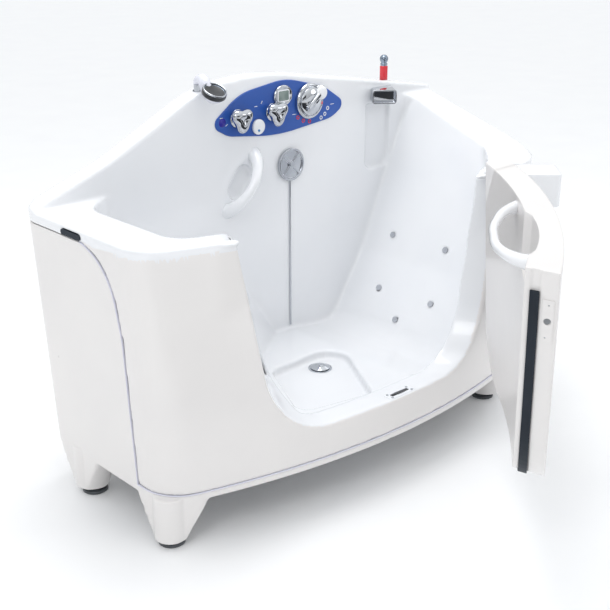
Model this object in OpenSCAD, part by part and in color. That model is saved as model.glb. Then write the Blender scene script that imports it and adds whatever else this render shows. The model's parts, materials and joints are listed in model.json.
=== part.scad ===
// Walk-in bath with a side-hinged door, shown with the door standing half open.
// Origin: on the floor under the levelling foot at the front of the foot end.
// +X runs to the head end, +Y to the splash wall, +Z up.

/* [Bath] */
// Length over the two ends of the bath
bath_len = 1620; // [1360:5:1950]
// Depth from the flat back to the crown of the bowed front
bath_depth = 708; // [620:4:850]
// Height of the front rim above the floor
rim_h = 850; // [710:5:1020]
// Rise of the splash wall above the front rim, at its highest
splash_rise = 288; // [240:4:340]
// Radius of the bowed front, seen from above
bow_r = 2300; // [1900:20:2800]
// How far each end leans in from the rim down to the seam
end_draft = 34; // [0:2:50]
// Wall of every moulding
wall = 8; // [5:1:10]
// Thickness of the front wall, skin to skin
front_wall = 80; // [66:2:96]
// Thickness of the splash wall, skin to skin
splash_wall = 68; // [56:2:84]
// Depth of the rim's turned-down edge over the outer shell
rim_turn = 30; // [20:2:40]

/* [Bathing well] */
// Height of the bathing floor
floor_h = 258; // [250:2:290]
// Depth of the footwell below the bathing floor
footwell_drop = 28; // [20:1:36]
// Lowest point of the reclining seat
recline_h = 240; // [225:5:250]
// Height of the raised seat at the foot end
seat_h = 455; // [400:5:500]

/* [Doorway] */
// Distance of the doorway from the foot end, at the rim
door_from_foot = 245; // [220:5:290]
// Distance of the doorway from the head end, at the rim
door_from_head = 345; // [320:5:400]
// Rise of the threshold above the bathing floor
sill_rise = 5; // [2:1:20]
// Radius of the doorway's lower corners
door_corner_r = 235; // [150:5:260]
// Gap between door and doorway all round
door_gap = 6; // [5:0.5:9]
// How far the door stands above the rim
door_rise = 50; // [0:5:70]
// Angle at which the door stands open
door_open = 45; // [0:5:90]
// How far the hinge axis stands off the outer face
hinge_off = 42; // [36:1:60]
// Diameter of the hinge pins
hinge_pin_d = 12; // [10:1:16]

/* [Feet] */
// Diameter of each levelling pad
pad_d = 75; // [60:1:90]
// Diameter of the levelling studs
stud_d = 12; // [10:1:16]
// Radius of a leg where it runs into the belt
leg_top_r = 96; // [80:2:110]
// Radius of a leg at its foot
leg_foot_r = 42; // [36:1:52]
// Height of the seam between outer shell and chassis
seam_h = 160; // [150:2:180]
// Height of the belt below the seam
belt_h = 22; // [16:1:40]

/* [Fittings] */
// Width of the control panel
panel_w = 540; // [480:2:600]
// Height of the control panel
panel_h = 158; // [140:2:176]
// Thickness of the control panel
panel_t = 5; // [3:0.5:8]
// Radius of the lobed knobs
knob_r = 27; // [22:1:30]
// Radius of the temperature dial
dial_r = 40; // [32:1:42]
// Diameter of the control spindles
spindle_d = 10; // [8:1:12]
// Radial clearance of turning and sliding parts
run_gap = 0.08; // [0.05:0.01:0.1]
// Diameter of the overflow disc
overflow_d = 106; // [90:2:120]
// Diameter of the waste pipe
waste_d = 40; // [32:1:50]
// Diameter of the drain plug
plug_d = 62; // [54:1:70]
// Diameter of a jet's face
jet_d = 20; // [14:1:30]
// Bar diameter of the grab handles
grip_d = 26; // [22:1:32]
// Travel of the latch bolts
bolt_throw = 22; // [16:1:26]

/* [Hidden] */
$fn = 48;

white = "#f2f2f4";
shell_white = "#e9e7e2";
chrome = "#c4c8cc";
steel = "#8f959b";
navy = "#10222e";
panel_blue = "#2f55ab";
red = "#d8303a";

// Plan of the bath
foot_over = 80;              // rim's reach past the foot-end feet
front_over = 180;            // crown of the bow in front of the front feet
x0 = -foot_over;
x1 = bath_len - foot_over;
y_front = -front_over;
y_back = bath_depth - front_over;
splash_y = y_back - splash_wall;
bow_x = (x0 + x1) / 2 + 20;  // the bow's crown lies a little towards the head end
bow = [bow_x, y_front + bow_r];
feet = [[0, 0], [bath_len - 270, 0], [0, y_back - 147], [bath_len - 270, y_back - 147]];
belt_z = seam_h - belt_h;
sill_h = floor_h + sill_rise;
splash_top = rim_h + splash_rise;
far = 2000;

function front_at(x, r = bow_r) = bow.y - sqrt(r * r - (x - bow.x) * (x - bow.x));

// Points along an arc, both ends included
function arc(c, r, a0, a1, n) =
    [for (i = [0:n]) c + r * [cos(a0 + (a1 - a0) * i / n), sin(a0 + (a1 - a0) * i / n)]];

// Closed outline through [x, y, radius] corners, each corner rounded by its radius
function unit(v) = v / norm(v);
function turned(a) = a > 180 ? a - 360 : a < -180 ? a + 360 : a;
function rounded_corner(p, c, q, r, n) =
    let (u = unit(p - c), v = unit(q - c), half = acos(u * v) / 2)
    r <= 0 || half > 89.5 ? [c] :
    let (m = c + unit(u + v) * r / sin(half), s = c + u * r / tan(half) - m,
         e = c + v * r / tan(half) - m, a0 = atan2(s.y, s.x), a1 = atan2(e.y, e.x))
    arc(m, r, a0, a0 + turned(a1 - a0), n);
function rounded(pts, n = 8) =
    [for (i = [0:len(pts) - 1])
        let (p = pts[(i + len(pts) - 1) % len(pts)], c = pts[i], q = pts[(i + 1) % len(pts)])
        each rounded_corner([p.x, p.y], [c.x, c.y], [q.x, q.y], c.z, n)];

// Plan outline with a bowed front between two straight ends and a flat back.
// corners: radii at front left, front right, back right and back left
function plan(xl, xr, yb, r, corners) =
    let (cl = [xl + corners[0], bow.y - sqrt(pow(r - corners[0], 2) - pow(xl + corners[0] - bow.x, 2))],
         cr = [xr - corners[1], bow.y - sqrt(pow(r - corners[1], 2) - pow(xr - corners[1] - bow.x, 2))],
         al = 360 + atan2(cl.y - bow.y, cl.x - bow.x), ar = 360 + atan2(cr.y - bow.y, cr.x - bow.x))
    concat(arc(cl, corners[0], 180, al, 10), arc(bow, r, al, ar, 44), arc(cr, corners[1], ar, 360, 12),
        arc([xr - corners[2], yb - corners[2]], corners[2], 0, 90, 6),
        arc([xl + corners[3], yb - corners[3]], corners[3], 90, 180, 6));

// Outer outline of the bath at height z, inset by e
function lean(z) = end_draft * max(0, rim_h - z) / (rim_h - seam_h);
function skin(e, z) =
    plan(x0 + e + lean(z), x1 - e - lean(z), y_back - e, bow_r - e, [124 - e, 180 - e, 84 - e, 60 - e]);

// Inner outline of the bathing well, grown by g
function well(g) =
    plan(x0 + 140 - g, x1 - 110 + g, splash_y + g, bow_r - front_wall + g, [85 + g, 330 + g, 60 + g, 120 + g]);

// Solid through outlines of equal length, one above the other
module loft(rings, heights) {
    n = len(rings[0]);
    last = len(rings) - 1;
    polyhedron(
        [for (k = [0:last]) each [for (p = rings[k]) [p.x, p.y, heights[k]]]],
        concat([[for (i = [0:n - 1]) i]], [[for (i = [n - 1:-1:0]) last * n + i]],
            [for (k = [0:last - 1], i = [0:n - 1])
                let (j = (i + 1) % n) each [[k * n + i, k * n + n + i, k * n + n + j],
                    [k * n + i, k * n + n + j, k * n + j]]]),
        convexity = 8);
}

// Slice of the bath's outer form between two heights
module bath_block(e, z0, z1) {
    intersection() {
        loft([skin(e, 0), skin(e, rim_h), skin(e, rim_h)], [0, rim_h, splash_top + 80]);
        translate([-far, -far, z0]) cube([2 * far, 2 * far, z1 - z0]);
    }
}

// Extrusion of an X-Z outline along Y, from y0 to y1
module along_y(y0, y1) {
    translate([0, y1, 0]) rotate([90, 0, 0]) linear_extrude(height = y1 - y0) children();
}
// Extrusion of a Y-Z outline along X, from xa to xb
module along_x(xa, xb) {
    translate([xa, 0, 0]) rotate([90, 0, 90]) linear_extrude(height = xb - xa) children();
}

// Sweep of the splash wall's top edge, lowered by d
module splash_profile(d) {
    polygon(rounded([[x0 - 60, 0, 0], [x1 + 60, 0, 0], [x1 + 60, rim_h + 150 - d, 0],
        [x0 + 840, splash_top - d, 700], [x0 + 600, splash_top - 20 - d, 500],
        [x0 + 270, rim_h + 105 - d, 500], [x0, rim_h + 6 - d, 0], [x0 - 60, rim_h + 6 - d, 0]], 10));
}
// The head-end rim climbs from the front rim to the splash wall
module head_rim_profile(d) {
    polygon(rounded([[y_front - 60, 0, 0], [y_back + 60, 0, 0], [y_back + 60, rim_h + 182 - d, 0],
        [-10, rim_h - d, 260], [y_front - 60, rim_h - d, 0]], 10));
}

// The bath above height z0, with no hollow in it: e insets the sides and d lowers the top
module rim_solid(e, d, z0) {
    intersection() {
        bath_block(e, z0, splash_top + 1);
        union() {
            translate([-far, -far, 0]) cube([2 * far, 2 * far, rim_h - d]);
            along_y(splash_y - 1 + e, y_back + 1) splash_profile(d);
            along_x(x1 - 300, x1 + 1) head_rim_profile(d);
        }
    }
}

// Floor of the bathing well and the reclining back, seen from the front
module recline_profile(g) {
    polygon(rounded([[x0 - 60, floor_h - g, 0], [x1 - 690, floor_h - g, 200],
        [x1 - 550, recline_h - g, 150], [x1 - 478, recline_h + 8 - g, 70],
        [x1 - 340 + g, recline_h + 230 - g / 2, 260], [x1 - 60 + g, recline_h + 872, 0],
        [x1 - 60 + g, splash_top + 60, 0], [x0 - 60, splash_top + 60, 0]], 8));
}

// The raised seat at the foot end, with its sloped and curved front
module raised_seat(g) {
    top = [[x0 + 60, splash_y + 40, 0], [x0 + 60, y_front, 0], [x0 + 400 - g, y_front, 0],
        [x0 + 425 - g, -40, 120], [x0 + 505 - g, 200, 120], [x0 + 590 - 1.5 * g, 340, 90],
        [x0 + 790 - 1.5 * g, splash_y + 40, 0]];
    foot = [[x0 + 60, splash_y + 40, 0], [x0 + 60, y_front, 0], [x0 + 470 - g, y_front, 0],
        [x0 + 500 - g, -40, 120], [x0 + 592 - g, 200, 120], [x0 + 688 - 1.5 * g, 330, 90],
        [x0 + 930 - 1.5 * g, splash_y + 40, 0]];
    low = rounded(foot, 6);
    high = rounded(top, 6);
    intersection() {
        // the slopes run on above the seat, and a level cut makes its top
        loft([low, low, [for (i = [0:len(low) - 1]) low[i] + 1.12 * (high[i] - low[i])]],
            [recline_h - 60, floor_h - g, floor_h - g + 1.12 * (seat_h - floor_h)]);
        translate([-far, -far, 0]) cube([2 * far, 2 * far, seat_h - g]);
    }
}

footwell_y = [-88, 250];
module footwell(g) {
    translate([0, 0, floor_h - footwell_drop - g]) linear_extrude(height = 120)
        polygon(rounded([[x0 + 655 - g, 236 + g, 40 + g], [x0 + 970 + g, footwell_y[1] + g, 70 + g],
            [x0 + 772 + g, footwell_y[0] - g, 30 + g], [x0 + 520 - g, -38 - g, 40 + g]], 8));
}

// Everything scooped out of the bath moulding; g grows it, for the far side of the wall
spout_x = x1 - 270;
module bathing_space(g) {
    difference() {
        intersection() {
            linear_extrude(height = splash_top + 60) polygon(well(g));
            along_y(y_front, y_back) recline_profile(g);
        }
        raised_seat(g);
    }
    footwell(g);
    spout_channel(g);
    handle_recess(g);
}
module spout_channel(g) {
    along_y(splash_y - 1, splash_y + 14 + g)
        polygon(rounded([[spout_x - 56 - g, rim_h - 100 - g, 30], [spout_x + 56 + g, rim_h - 100 - g, 30],
            [spout_x + 56 + g, rim_h + 128 + g, 0], [spout_x - 56 - g, rim_h + 128 + g, 0]], 6));
}

// Doorway: a tapered U through the front wall, wider outside than inside; g grows it
door_xl = x0 + door_from_foot;
door_xr = x1 - door_from_head;
jamb_lean = 0.22;
jamb_slant = 0.62;
door_top = rim_h + door_rise;
function door_outline(side, low) =
    let (zt = rim_h + 160, zb = sill_h - low, dl = jamb_lean * (zt - rim_h), db = jamb_lean * (rim_h - zb))
    rounded([[door_xl - dl - side, zt, 0], [door_xl + db - side, zb, door_corner_r],
        [door_xr - db + side, zb, door_corner_r], [door_xr + dl + side, zt, 0]], 14);
module doorway(g) {
    ya = y_front - 60;
    yb = y_front + 250;
    y_edge = front_at(door_xl);
    hull() {
        for (y = [ya, yb])
            along_y(y, y + 1) polygon(door_outline(g - jamb_slant * (y - y_edge), g));
    }
}

// Rounds the rim's corners where it meets the doorway
rim_corner_r = 38;
module rim_corners() {
    for (s = [[door_xl + jamb_lean * rim_corner_r, 1], [door_xr - jamb_lean * rim_corner_r, -1]])
        translate([s[0], front_at(door_xl), 0]) rotate([0, 0, -s[1] * atan(jamb_slant)])
            along_y(-160, 160) translate([-s[1] * rim_corner_r, rim_h - rim_corner_r]) difference() {
                translate([s[1] > 0 ? 0 : -rim_corner_r - 30, 0]) square([rim_corner_r + 30, rim_corner_r + 60]);
                circle(r = rim_corner_r, $fn = 96);
            }
}

// ---- Fixed body ----

module bath_moulding() {
    color(white) difference() {
        union() {
            bath_block(wall, belt_z, rim_h - rim_turn + 1);
            intersection() {
                rim_solid(0, 0, belt_z);
                translate([-far, -far, rim_h - rim_turn]) cube([2 * far, 2 * far, far]);
            }
        }
        difference() {
            union() {
                bath_block(-5, belt_z - 10, rim_h - rim_turn);
                rim_solid(wall, wall, belt_z - 5);
            }
            bathing_space(wall);
            doorway(wall);
        }
        bathing_space(0);
        doorway(0);
        rim_corners();
        fitting_holes();
    }
}

// Part of the foot end that belongs to the chassis shell; g grows it past the seam
module foot_panel_zone(g) {
    along_x(x0 - 40, x0 + 110)
        polygon(rounded([[82 - g, 0, 0], [y_back + 40, 0, 0], [y_back + 40, rim_h - 28 + g, 0],
            [230, rim_h - 28 + g, 120], [112 - g, rim_h - 75, 160], [82 - g, rim_h - 260, 300]], 8));
}

module outer_shell() {
    color(shell_white) difference() {
        bath_block(0, seam_h + 1, rim_h - rim_turn);
        bath_block(wall, seam_h - 4, rim_h);
        doorway(0);
        rim_corners();
        foot_panel_zone(1);
    }
}

module chassis_shell() {
    color(shell_white) {
        difference() {
            union() {
                bath_block(0, belt_z, seam_h - 1);
                intersection() {
                    bath_block(0, seam_h - 1, rim_h - rim_turn);
                    foot_panel_zone(-1);
                }
            }
            bath_block(wall, belt_z - 4, rim_h);
        }
        difference() {
            intersection() {
                bath_block(0, 10, belt_z + wall);
                union() {
                    for (f = feet) translate([f.x, f.y, 0]) leg();
                }
            }
            for (f = feet) translate([f.x, f.y, 0]) cylinder(d = stud_d + 2 * run_gap, h = belt_z + 40);
        }
    }
}
module leg() {
    rotate_extrude()
        polygon(concat([[0, 20], [leg_foot_r, 20]],
            arc([leg_top_r + 70, 70], leg_top_r + 62 - leg_foot_r, 190, 130, 8), [[0, belt_z + wall]]));
}

module seam_piping() {
    color("#d6d0e4") {
        difference() {
            bath_block(-1.5, seam_h - 1, seam_h + 1);
            bath_block(wall / 2, seam_h - 2, seam_h + 2);
            foot_panel_zone(1);
        }
        intersection() {
            difference() {
                bath_block(-1.5, seam_h - 1, rim_h - rim_turn);
                bath_block(wall / 2, seam_h - 2, rim_h);
            }
            difference() {
                foot_panel_zone(1);
                foot_panel_zone(-1);
            }
        }
    }
}

// Dark insert in the rim's turned-down edge at the foot end
slot_y = 275;
module slot_outline(g) {
    h = rim_turn / 4 + g;
    translate([slot_y, rim_h - rim_turn * 0.62])
        polygon(rounded([[-46 - g, -h, h * 0.96], [46 + g, -h, h * 0.96], [46 + g, h, h * 0.96],
            [-46 - g, h, h * 0.96]], 8));
}
module rim_slot_insert() {
    color(navy) along_x(x0 - 0.6, x0 + wall)
        slot_outline(0);
}

// Steel frame: two long rails, two cross rails and posts up to the underside of the well
rail = 28;
frame_z = belt_z + wall;
rail_wall = 3;
// Square tubes of the frame, d inside their outer faces
module frame_tubes(d) {
    t = rail - 2 * d;
    for (y = [feet[0].y, feet[2].y]) translate([-30 + d, y - t / 2, frame_z + d])
        cube([feet[1].x + 60 - 2 * d, t, t]);
    for (x = [feet[0].x, feet[1].x]) translate([x - t / 2, feet[0].y + d, frame_z + d])
        cube([t, feet[2].y - 2 * d, t]);
    for (y = [feet[0].y, feet[2].y]) translate([x0 + 270 + d, y - t / 2, frame_z + d])
        cube([t, t, seat_h - wall - frame_z - 2 * d]);
    difference() {
        for (y = [feet[0].y, feet[2].y]) translate([x1 - 235 + d, y - t / 2, frame_z + d])
            cube([t, t, rim_h - wall - 2 - frame_z - d]);
        along_y(y_front, y_back) recline_profile(wall + d);
    }
}
module support_frame() {
    color(steel) difference() {
        intersection() {
            frame_tubes(0);
            translate([0, 0, frame_z - 1]) linear_extrude(height = rim_h) polygon(skin(wall + 3, frame_z));
        }
        frame_tubes(rail_wall);
        for (f = feet) translate([f.x, f.y, frame_z - 1]) cylinder(d = stud_d + 2 * run_gap, h = rail + 2);
    }
}

module levelling_pads() {
    color("#3c4248") for (f = feet) translate([f.x, f.y, 0]) {
        cylinder(d = pad_d, h = 9);
        translate([0, 0, 9]) cylinder(d1 = pad_d, d2 = stud_d + 12, h = 8);
        cylinder(d = stud_d, h = frame_z + rail + 14);
    }
}
module locknuts() {
    color(steel) for (f = feet) translate([f.x, f.y, frame_z + rail]) difference() {
        cylinder(d = stud_d * 1.85, h = 10, $fn = 6);
        translate([0, 0, -1]) cylinder(d = stud_d + run_gap, h = 12);
    }
}

// ---- Controls on the splash wall ----

panel_x = x0 + 900;
panel_z = rim_h + 168;
face_y = splash_y - panel_t;       // front of the panel
knob_at = [[panel_x - 182, panel_z - 8], [panel_x - 37, panel_z - 7]];
dial_at = [panel_x + 114, panel_z + 10];
bezel_at = [panel_x, panel_z + 44];
keypad_at = [panel_x - 100, panel_z - 45];

// Children placed on the splash wall at p, with +Z pointing into the bath from height y
module on_splash(p, y) { translate([p.x, y, p.y]) rotate([90, 0, 0]) children(); }

// Leaf shape: blunt at the foot end, drawn to a rounded tip at the head end
module panel_outline() {
    w = panel_w / 2;
    h = panel_h / 2;
    polygon(rounded([[-w - 17, -0.25 * h, 24], [-0.8 * w, -0.76 * h, 90], [-0.07 * w, -1.09 * h, 700],
        [0.83 * w, -0.76 * h, 120], [w + 19, -0.23 * h, 24], [0.69 * w, 0.61 * h, 200],
        [0.07 * w, 1.16 * h, 260], [-0.63 * w, 0.83 * h, 200]], 10));
}
module control_panel() {
    color(panel_blue) difference() {
        on_splash([panel_x, panel_z], splash_y) linear_extrude(height = panel_t) panel_outline();
        spindle_holes();
        keypad_well();
    }
}
module spindle_holes() {
    for (p = [knob_at[0], knob_at[1], dial_at])
        on_splash(p, splash_y + wall + 1) cylinder(d = spindle_d + 2 * run_gap, h = wall + panel_t + 2);
}
module keypad_well() {
    on_splash(keypad_at, splash_y + 1) linear_extrude(height = panel_t + 2) oval(19.5, 23.5);
}
module oval(a, b) {
    polygon(rounded([[-a, -b, a * 0.9], [a, -b, a * 0.9], [a, b, a * 0.9], [-a, b, a * 0.9]], 10));
}

module display_bezel() {
    color("#d9dce0") on_splash(bezel_at, face_y) difference() {
        linear_extrude(height = 9) oval(27, 31);
        translate([0, 0, 5]) linear_extrude(height = 5) oval(20, 24);
    }
}
module display_lens() {
    color("#9fb0ac") on_splash(bezel_at, face_y - 5) linear_extrude(height = 3) oval(20, 24);
}
module keypad() {
    color(white) on_splash(keypad_at, splash_y) difference() {
        linear_extrude(height = panel_t + 4) oval(19.5, 23.5);
        translate([-4, -10, -1]) cylinder(d = 9 + 2 * run_gap, h = panel_t + 6);
    }
}
module keypad_button() {
    color("#2e7fb0") on_splash(keypad_at, splash_y) translate([-4, -10, 2.5])
        cylinder(d = 9, h = panel_t + 3.5);
}

// Three-lobed knob on its spindle, made of three lobes round a domed hub
module lobed_knob(p) {
    on_splash(p, face_y - 1) {
        translate([0, 0, -panel_t - wall - 12]) cylinder(d = spindle_d, h = panel_t + wall + 22);
        difference() {
            union() {
                cylinder(r = knob_r * 0.78, h = 16);
                for (a = [90, 210, 330]) rotate([0, 0, a]) translate([knob_r * 0.6, 0, 0]) {
                    cylinder(r = knob_r * 0.5, h = 22);
                    translate([0, 0, 22]) cylinder(r1 = knob_r * 0.5, r2 = knob_r * 0.36, h = 5);
                }
                translate([0, 0, 16]) cylinder(r1 = knob_r * 0.78, r2 = knob_r * 0.5, h = 9);
            }
            for (a = [30, 150, 270]) rotate([0, 0, a]) translate([knob_r * 1.12, 0, -1])
                cylinder(r = knob_r * 0.46, h = 40);
        }
    }
}
module flow_knob() { color(chrome) lobed_knob(knob_at[0]); }
module divert_knob() { color(chrome) lobed_knob(knob_at[1]); }

button_off = [30, 24];             // safety button's place on the dial's rim
button_d = 30;
module temperature_dial() {
    color(chrome) on_splash(dial_at, face_y - 1) difference() {
        union() {
            translate([0, 0, -panel_t - wall - 12]) cylinder(d = spindle_d, h = panel_t + wall + 22);
            cylinder(r = dial_r, h = 10);
            translate([0, 0, 10]) cylinder(r1 = dial_r, r2 = dial_r - 6, h = 10);
            translate([0, 0, 19]) cylinder(r = dial_r * 0.52, h = 14);
            translate([button_off.x, button_off.y, 0]) cylinder(d = button_d + 5, h = 22);
        }
        translate([button_off.x, button_off.y, 8]) cylinder(d = button_d + 2 * run_gap, h = 30);
    }
}
module safety_button() {
    color(white) on_splash(dial_at, face_y - 1) translate([button_off.x, button_off.y, 13])
        cylinder(d = button_d, h = 16);
}

// Mixer behind the panel: a cast bar with three sockets for the spindles
valve_y = splash_y + wall + 22;
module mixer_bar() {
    translate([knob_at[0].x - 30, valve_y + 6, panel_z - 6]) rotate([0, 90, 0])
        cylinder(d = 28, h = dial_at.x - knob_at[0].x + 60);
}
module mixer_valve() {
    color("#b9975a") difference() {
        union() {
            mixer_bar();
            for (p = [knob_at[0], knob_at[1], dial_at]) on_splash(p, valve_y + 6) cylinder(d = 26, h = 26);
        }
        for (p = [knob_at[0], knob_at[1], dial_at])
            on_splash(p, valve_y + 4) cylinder(d = spindle_d + 2 * run_gap, h = 40);
    }
}
// Hot and cold tails, down behind the splash wall to the open underside
tail_d = 15;
tail_end_d = 21;
tail_x = [knob_at[0].x + 40, dial_at.x - 20];
tail_z = 112;
module supply_tails() {
    color("#b87a4a") difference() {
        for (x = tail_x) translate([x, valve_y + 6, tail_z]) {
            cylinder(d = tail_d, h = panel_z - 6 - tail_z);
            cylinder(d = tail_end_d, h = 16);
        }
        mixer_bar();
    }
}
module spout_feed() {
    color("#b87a4a") {
        translate([dial_at.x + 30, valve_y + 6, panel_z - 6]) rotate([0, 90, 0])
            cylinder(d = tail_d, h = spout_x - dial_at.x - 30);
        on_splash([spout_x, panel_z - 6], valve_y + 6) cylinder(d = tail_d, h = valve_y + 6 - splash_y);
    }
}

// ---- Spout, hand shower and vent on the splash wall ----

spout_z = rim_h + 155;
spout_w = 118;
module spout() {
    color(chrome) difference() {
        along_x(spout_x - spout_w / 2, spout_x + spout_w / 2)
            polygon(rounded([[splash_y, spout_z - 25, 0], [splash_y - 34, spout_z - 25, 6],
                [splash_y - 62, spout_z - 8, 10], [splash_y - 62, spout_z + 8, 10],
                [splash_y - 40, spout_z + 25, 20], [splash_y, spout_z + 25, 0]], 6));
        along_x(spout_x - spout_w / 2 + 8, spout_x + spout_w / 2 - 8)
            polygon([[splash_y - 70, spout_z - 17], [splash_y - 22, spout_z - 30],
                [splash_y - 22, spout_z + 6], [splash_y - 70, spout_z + 6]]);
        on_splash([spout_x, panel_z - 6], splash_y + 1) cylinder(d = tail_d, h = 24);
    }
}
module spout_mouth() {
    color("#15181b") along_x(spout_x - spout_w / 2 + 8.2, spout_x + spout_w / 2 - 8.2)
        polygon([[splash_y - 50, spout_z - 12], [splash_y - 22.2, spout_z - 19],
            [splash_y - 22.2, spout_z + 5.8], [splash_y - 50, spout_z + 5.8]]);
}

shower_x = x0 + 606;
shower_y = splash_y + splash_wall / 2;
shower_z = splash_top - 29;         // top of the splash wall at the holder
stem_d = 20;
elbow = [shower_x, shower_y, shower_z + 40];
head_at = [shower_x - 6, splash_y - 50, shower_z + 13];
head_d = 70;
neck_d = 22;
module shower_holder() {
    color(chrome) translate([shower_x, shower_y, shower_z - 50]) difference() {
        cylinder(d = 34, h = 64);
        translate([0, 0, -1]) cylinder(d = stem_d + 2 * run_gap, h = 66);
    }
}
// The head lies face up, as it is stowed; its stem drops into the holder
module hand_shower() {
    color(chrome) {
        translate([shower_x, shower_y, shower_z - 30]) cylinder(d = stem_d, h = elbow.z - shower_z + 30);
        translate([shower_x, shower_y, shower_z + 14.3]) cylinder(d = 28, h = 12);
        hull() {
            translate(elbow) sphere(d = neck_d, $fn = 32);
            shower_axis() translate([0, 8, -neck_d / 2 - 15]) sphere(d = neck_d, $fn = 32);
        }
        shower_axis() {
            translate([0, 0, -20]) cylinder(d = head_d - 22.6, h = 18);
            translate([0, 0, -30]) cylinder(d1 = 36, d2 = head_d - 6, h = 16);
        }
    }
}
module shower_axis() { translate(head_at) rotate([34, 0, 0]) children(); }
module shower_face() {
    color("#1c2226") shower_axis() translate([0, 0, -13.95]) difference() {
        cylinder(d = head_d, h = 18);
        translate([0, 0, -1]) cylinder(d = head_d - 22, h = 20);
    }
}

vent = [x1 - 205, y_back - 30];
vent_z = splash_top + (rim_h + 150 - splash_top) * (vent.x - x0 - 840) / (x1 + 60 - x0 - 840);
module vent_post() {
    color(chrome) translate([vent.x, vent.y, 0]) {
        translate([0, 0, vent_z - 16]) cylinder(d = 34, h = 24);
        translate([0, 0, vent_z + 8]) cylinder(d = 16, h = 46);
        translate([0, 0, vent_z + 64]) sphere(d = 24);
        translate([0, 0, vent_z + 8]) cylinder(d = 10, h = 56);
    }
}
module vent_cap() {
    color(red) translate([vent.x, vent.y, vent_z + 10]) difference() {
        cylinder(d = 23, h = 38);
        translate([0, 0, -1]) cylinder(d = 16, h = 40);
    }
}

// ---- Waste and overflow ----

overflow = [x0 + 936, rim_h - 19];
module overflow_disc() {
    r = overflow_d / 2;
    color(chrome) on_splash(overflow, splash_y - 3) {
        difference() {
            cylinder(r = r, h = 12);
            translate([0, 0, 7]) cylinder(r = r - 7, h = 8);
        }
        for (a = [45, 135]) rotate([0, 0, a]) translate([-r + 4, -4, 5]) cube([2 * r - 8, 8, 7]);
        translate([0, 0, 5]) cylinder(d = 22, h = 9);
        translate([0, 0, -22]) cylinder(d = 12, h = 24);
    }
}
drain = [x0 + 817, 186];
drain_z = floor_h - footwell_drop;
overflow_run_z = frame_z + rail + 14;
module overflow_pipe() {
    y = splash_y + wall + 14;
    color("#dfe0e0") difference() {
        union() {
            on_splash(overflow, y + 14) cylinder(d = 60, h = 14 + 14);
            translate([overflow.x, y + 6, overflow_run_z]) cylinder(d = 22, h = overflow.y - overflow_run_z);
            translate([overflow.x, drain.y, overflow_run_z]) rotate([-90, 0, 0])
                cylinder(d = 22, h = y + 6 - drain.y);
            translate([drain.x, drain.y, overflow_run_z]) rotate([0, 90, 0])
                cylinder(d = 22, h = overflow.x - drain.x);
            translate([overflow.x, y + 6, overflow_run_z]) sphere(d = 24);
            translate([overflow.x, drain.y, overflow_run_z]) sphere(d = 24);
        }
        on_splash(overflow, y + 4) cylinder(d = 12 + 2 * run_gap, h = 40);
        translate([drain.x, drain.y, drain_z - 140]) cylinder(d = waste_d + 12, h = 140);
    }
}
module level_tube() {
    color("#b4bac2") {
        translate([overflow.x, splash_y - 3.25, floor_h + 12])
            cylinder(d = 6, h = overflow.y - overflow_d / 2 - floor_h - 13);
    }
}
module drain_body() {
    color(chrome) translate([drain.x, drain.y, 0]) difference() {
        union() {
            translate([0, 0, drain_z]) cylinder(d = plug_d + 14, h = 2.5);
            translate([0, 0, trap_z + 30]) cylinder(d = waste_d + 12, h = drain_z - trap_z - 30);
        }
        translate([0, 0, trap_z]) cylinder(d = waste_d, h = 200);
        translate([0, 0, drain_z - 1]) cylinder(d = waste_d + 6, h = 6);
    }
}
module drain_plug() {
    color(chrome) translate([drain.x, drain.y, drain_z + 3.4]) {
        cylinder(d = plug_d, h = 3);
        translate([0, 0, 3]) cylinder(d1 = plug_d, d2 = plug_d * 0.55, h = 6);
        translate([0, 0, 8]) cylinder(d1 = plug_d * 0.6, d2 = plug_d * 0.25, h = 4);
        translate([0, 0, -34]) cylinder(d = 9, h = 36);
    }
}
trap_z = 78;
outlet_reach = 30;
module waste_trap() {
    color("#dfe0e0") translate([drain.x, drain.y, 0]) difference() {
        union() {
            translate([0, 0, trap_z]) cylinder(d = waste_d + 30, h = 56);
            translate([0, 0, trap_z + 28]) rotate([-90, 0, 0])
                cylinder(d = waste_d + 8, h = y_back - drain.y - 4);
            translate([0, 0, trap_z + 28]) rotate([-90, 0, 0])
                cylinder(d = waste_d, h = y_back - drain.y - 4 + outlet_reach);
        }
        translate([0, 0, trap_z + 30]) cylinder(d = waste_d + 12, h = 60);
        translate([0, 0, trap_z + 6]) cylinder(d = waste_d, h = 60);
        translate([0, 0, trap_z + 28]) rotate([-90, 0, 0]) cylinder(d = waste_d - 6, h = y_back);
    }
}

// ---- Jets, their manifold and pump ----

// Places on the reclining back: distance from the head end, and Y
jets_at = [[310, 336], [310, 99], [401, 311], [399, 78], [446, 191]];
function recline_z(d) = d > 340 ? recline_h + 230 - (d - 340) * 222 / 138 : recline_h + 230 + (340 - d) * 642 / 280;
recline_tilt = [atan2(222, 138), atan2(642, 280)];
module at_jet(j) {
    t = j[0] > 340 ? recline_tilt[0] : recline_tilt[1];
    translate([x1 - j[0], j[1], recline_z(j[0])]) rotate([0, -t, 0]) children();
}
jet_tail = 46;
manifold_x = x1 - 272;
module jet_tails() {
    for (j = jets_at) at_jet(j) translate([0, 0, -jet_tail]) cylinder(d = jet_d - 6, h = jet_tail + 2);
}
module jets() {
    color(chrome) {
        jet_tails();
        for (j = jets_at) at_jet(j) cylinder(d = jet_d, h = 4);
    }
}
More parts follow.
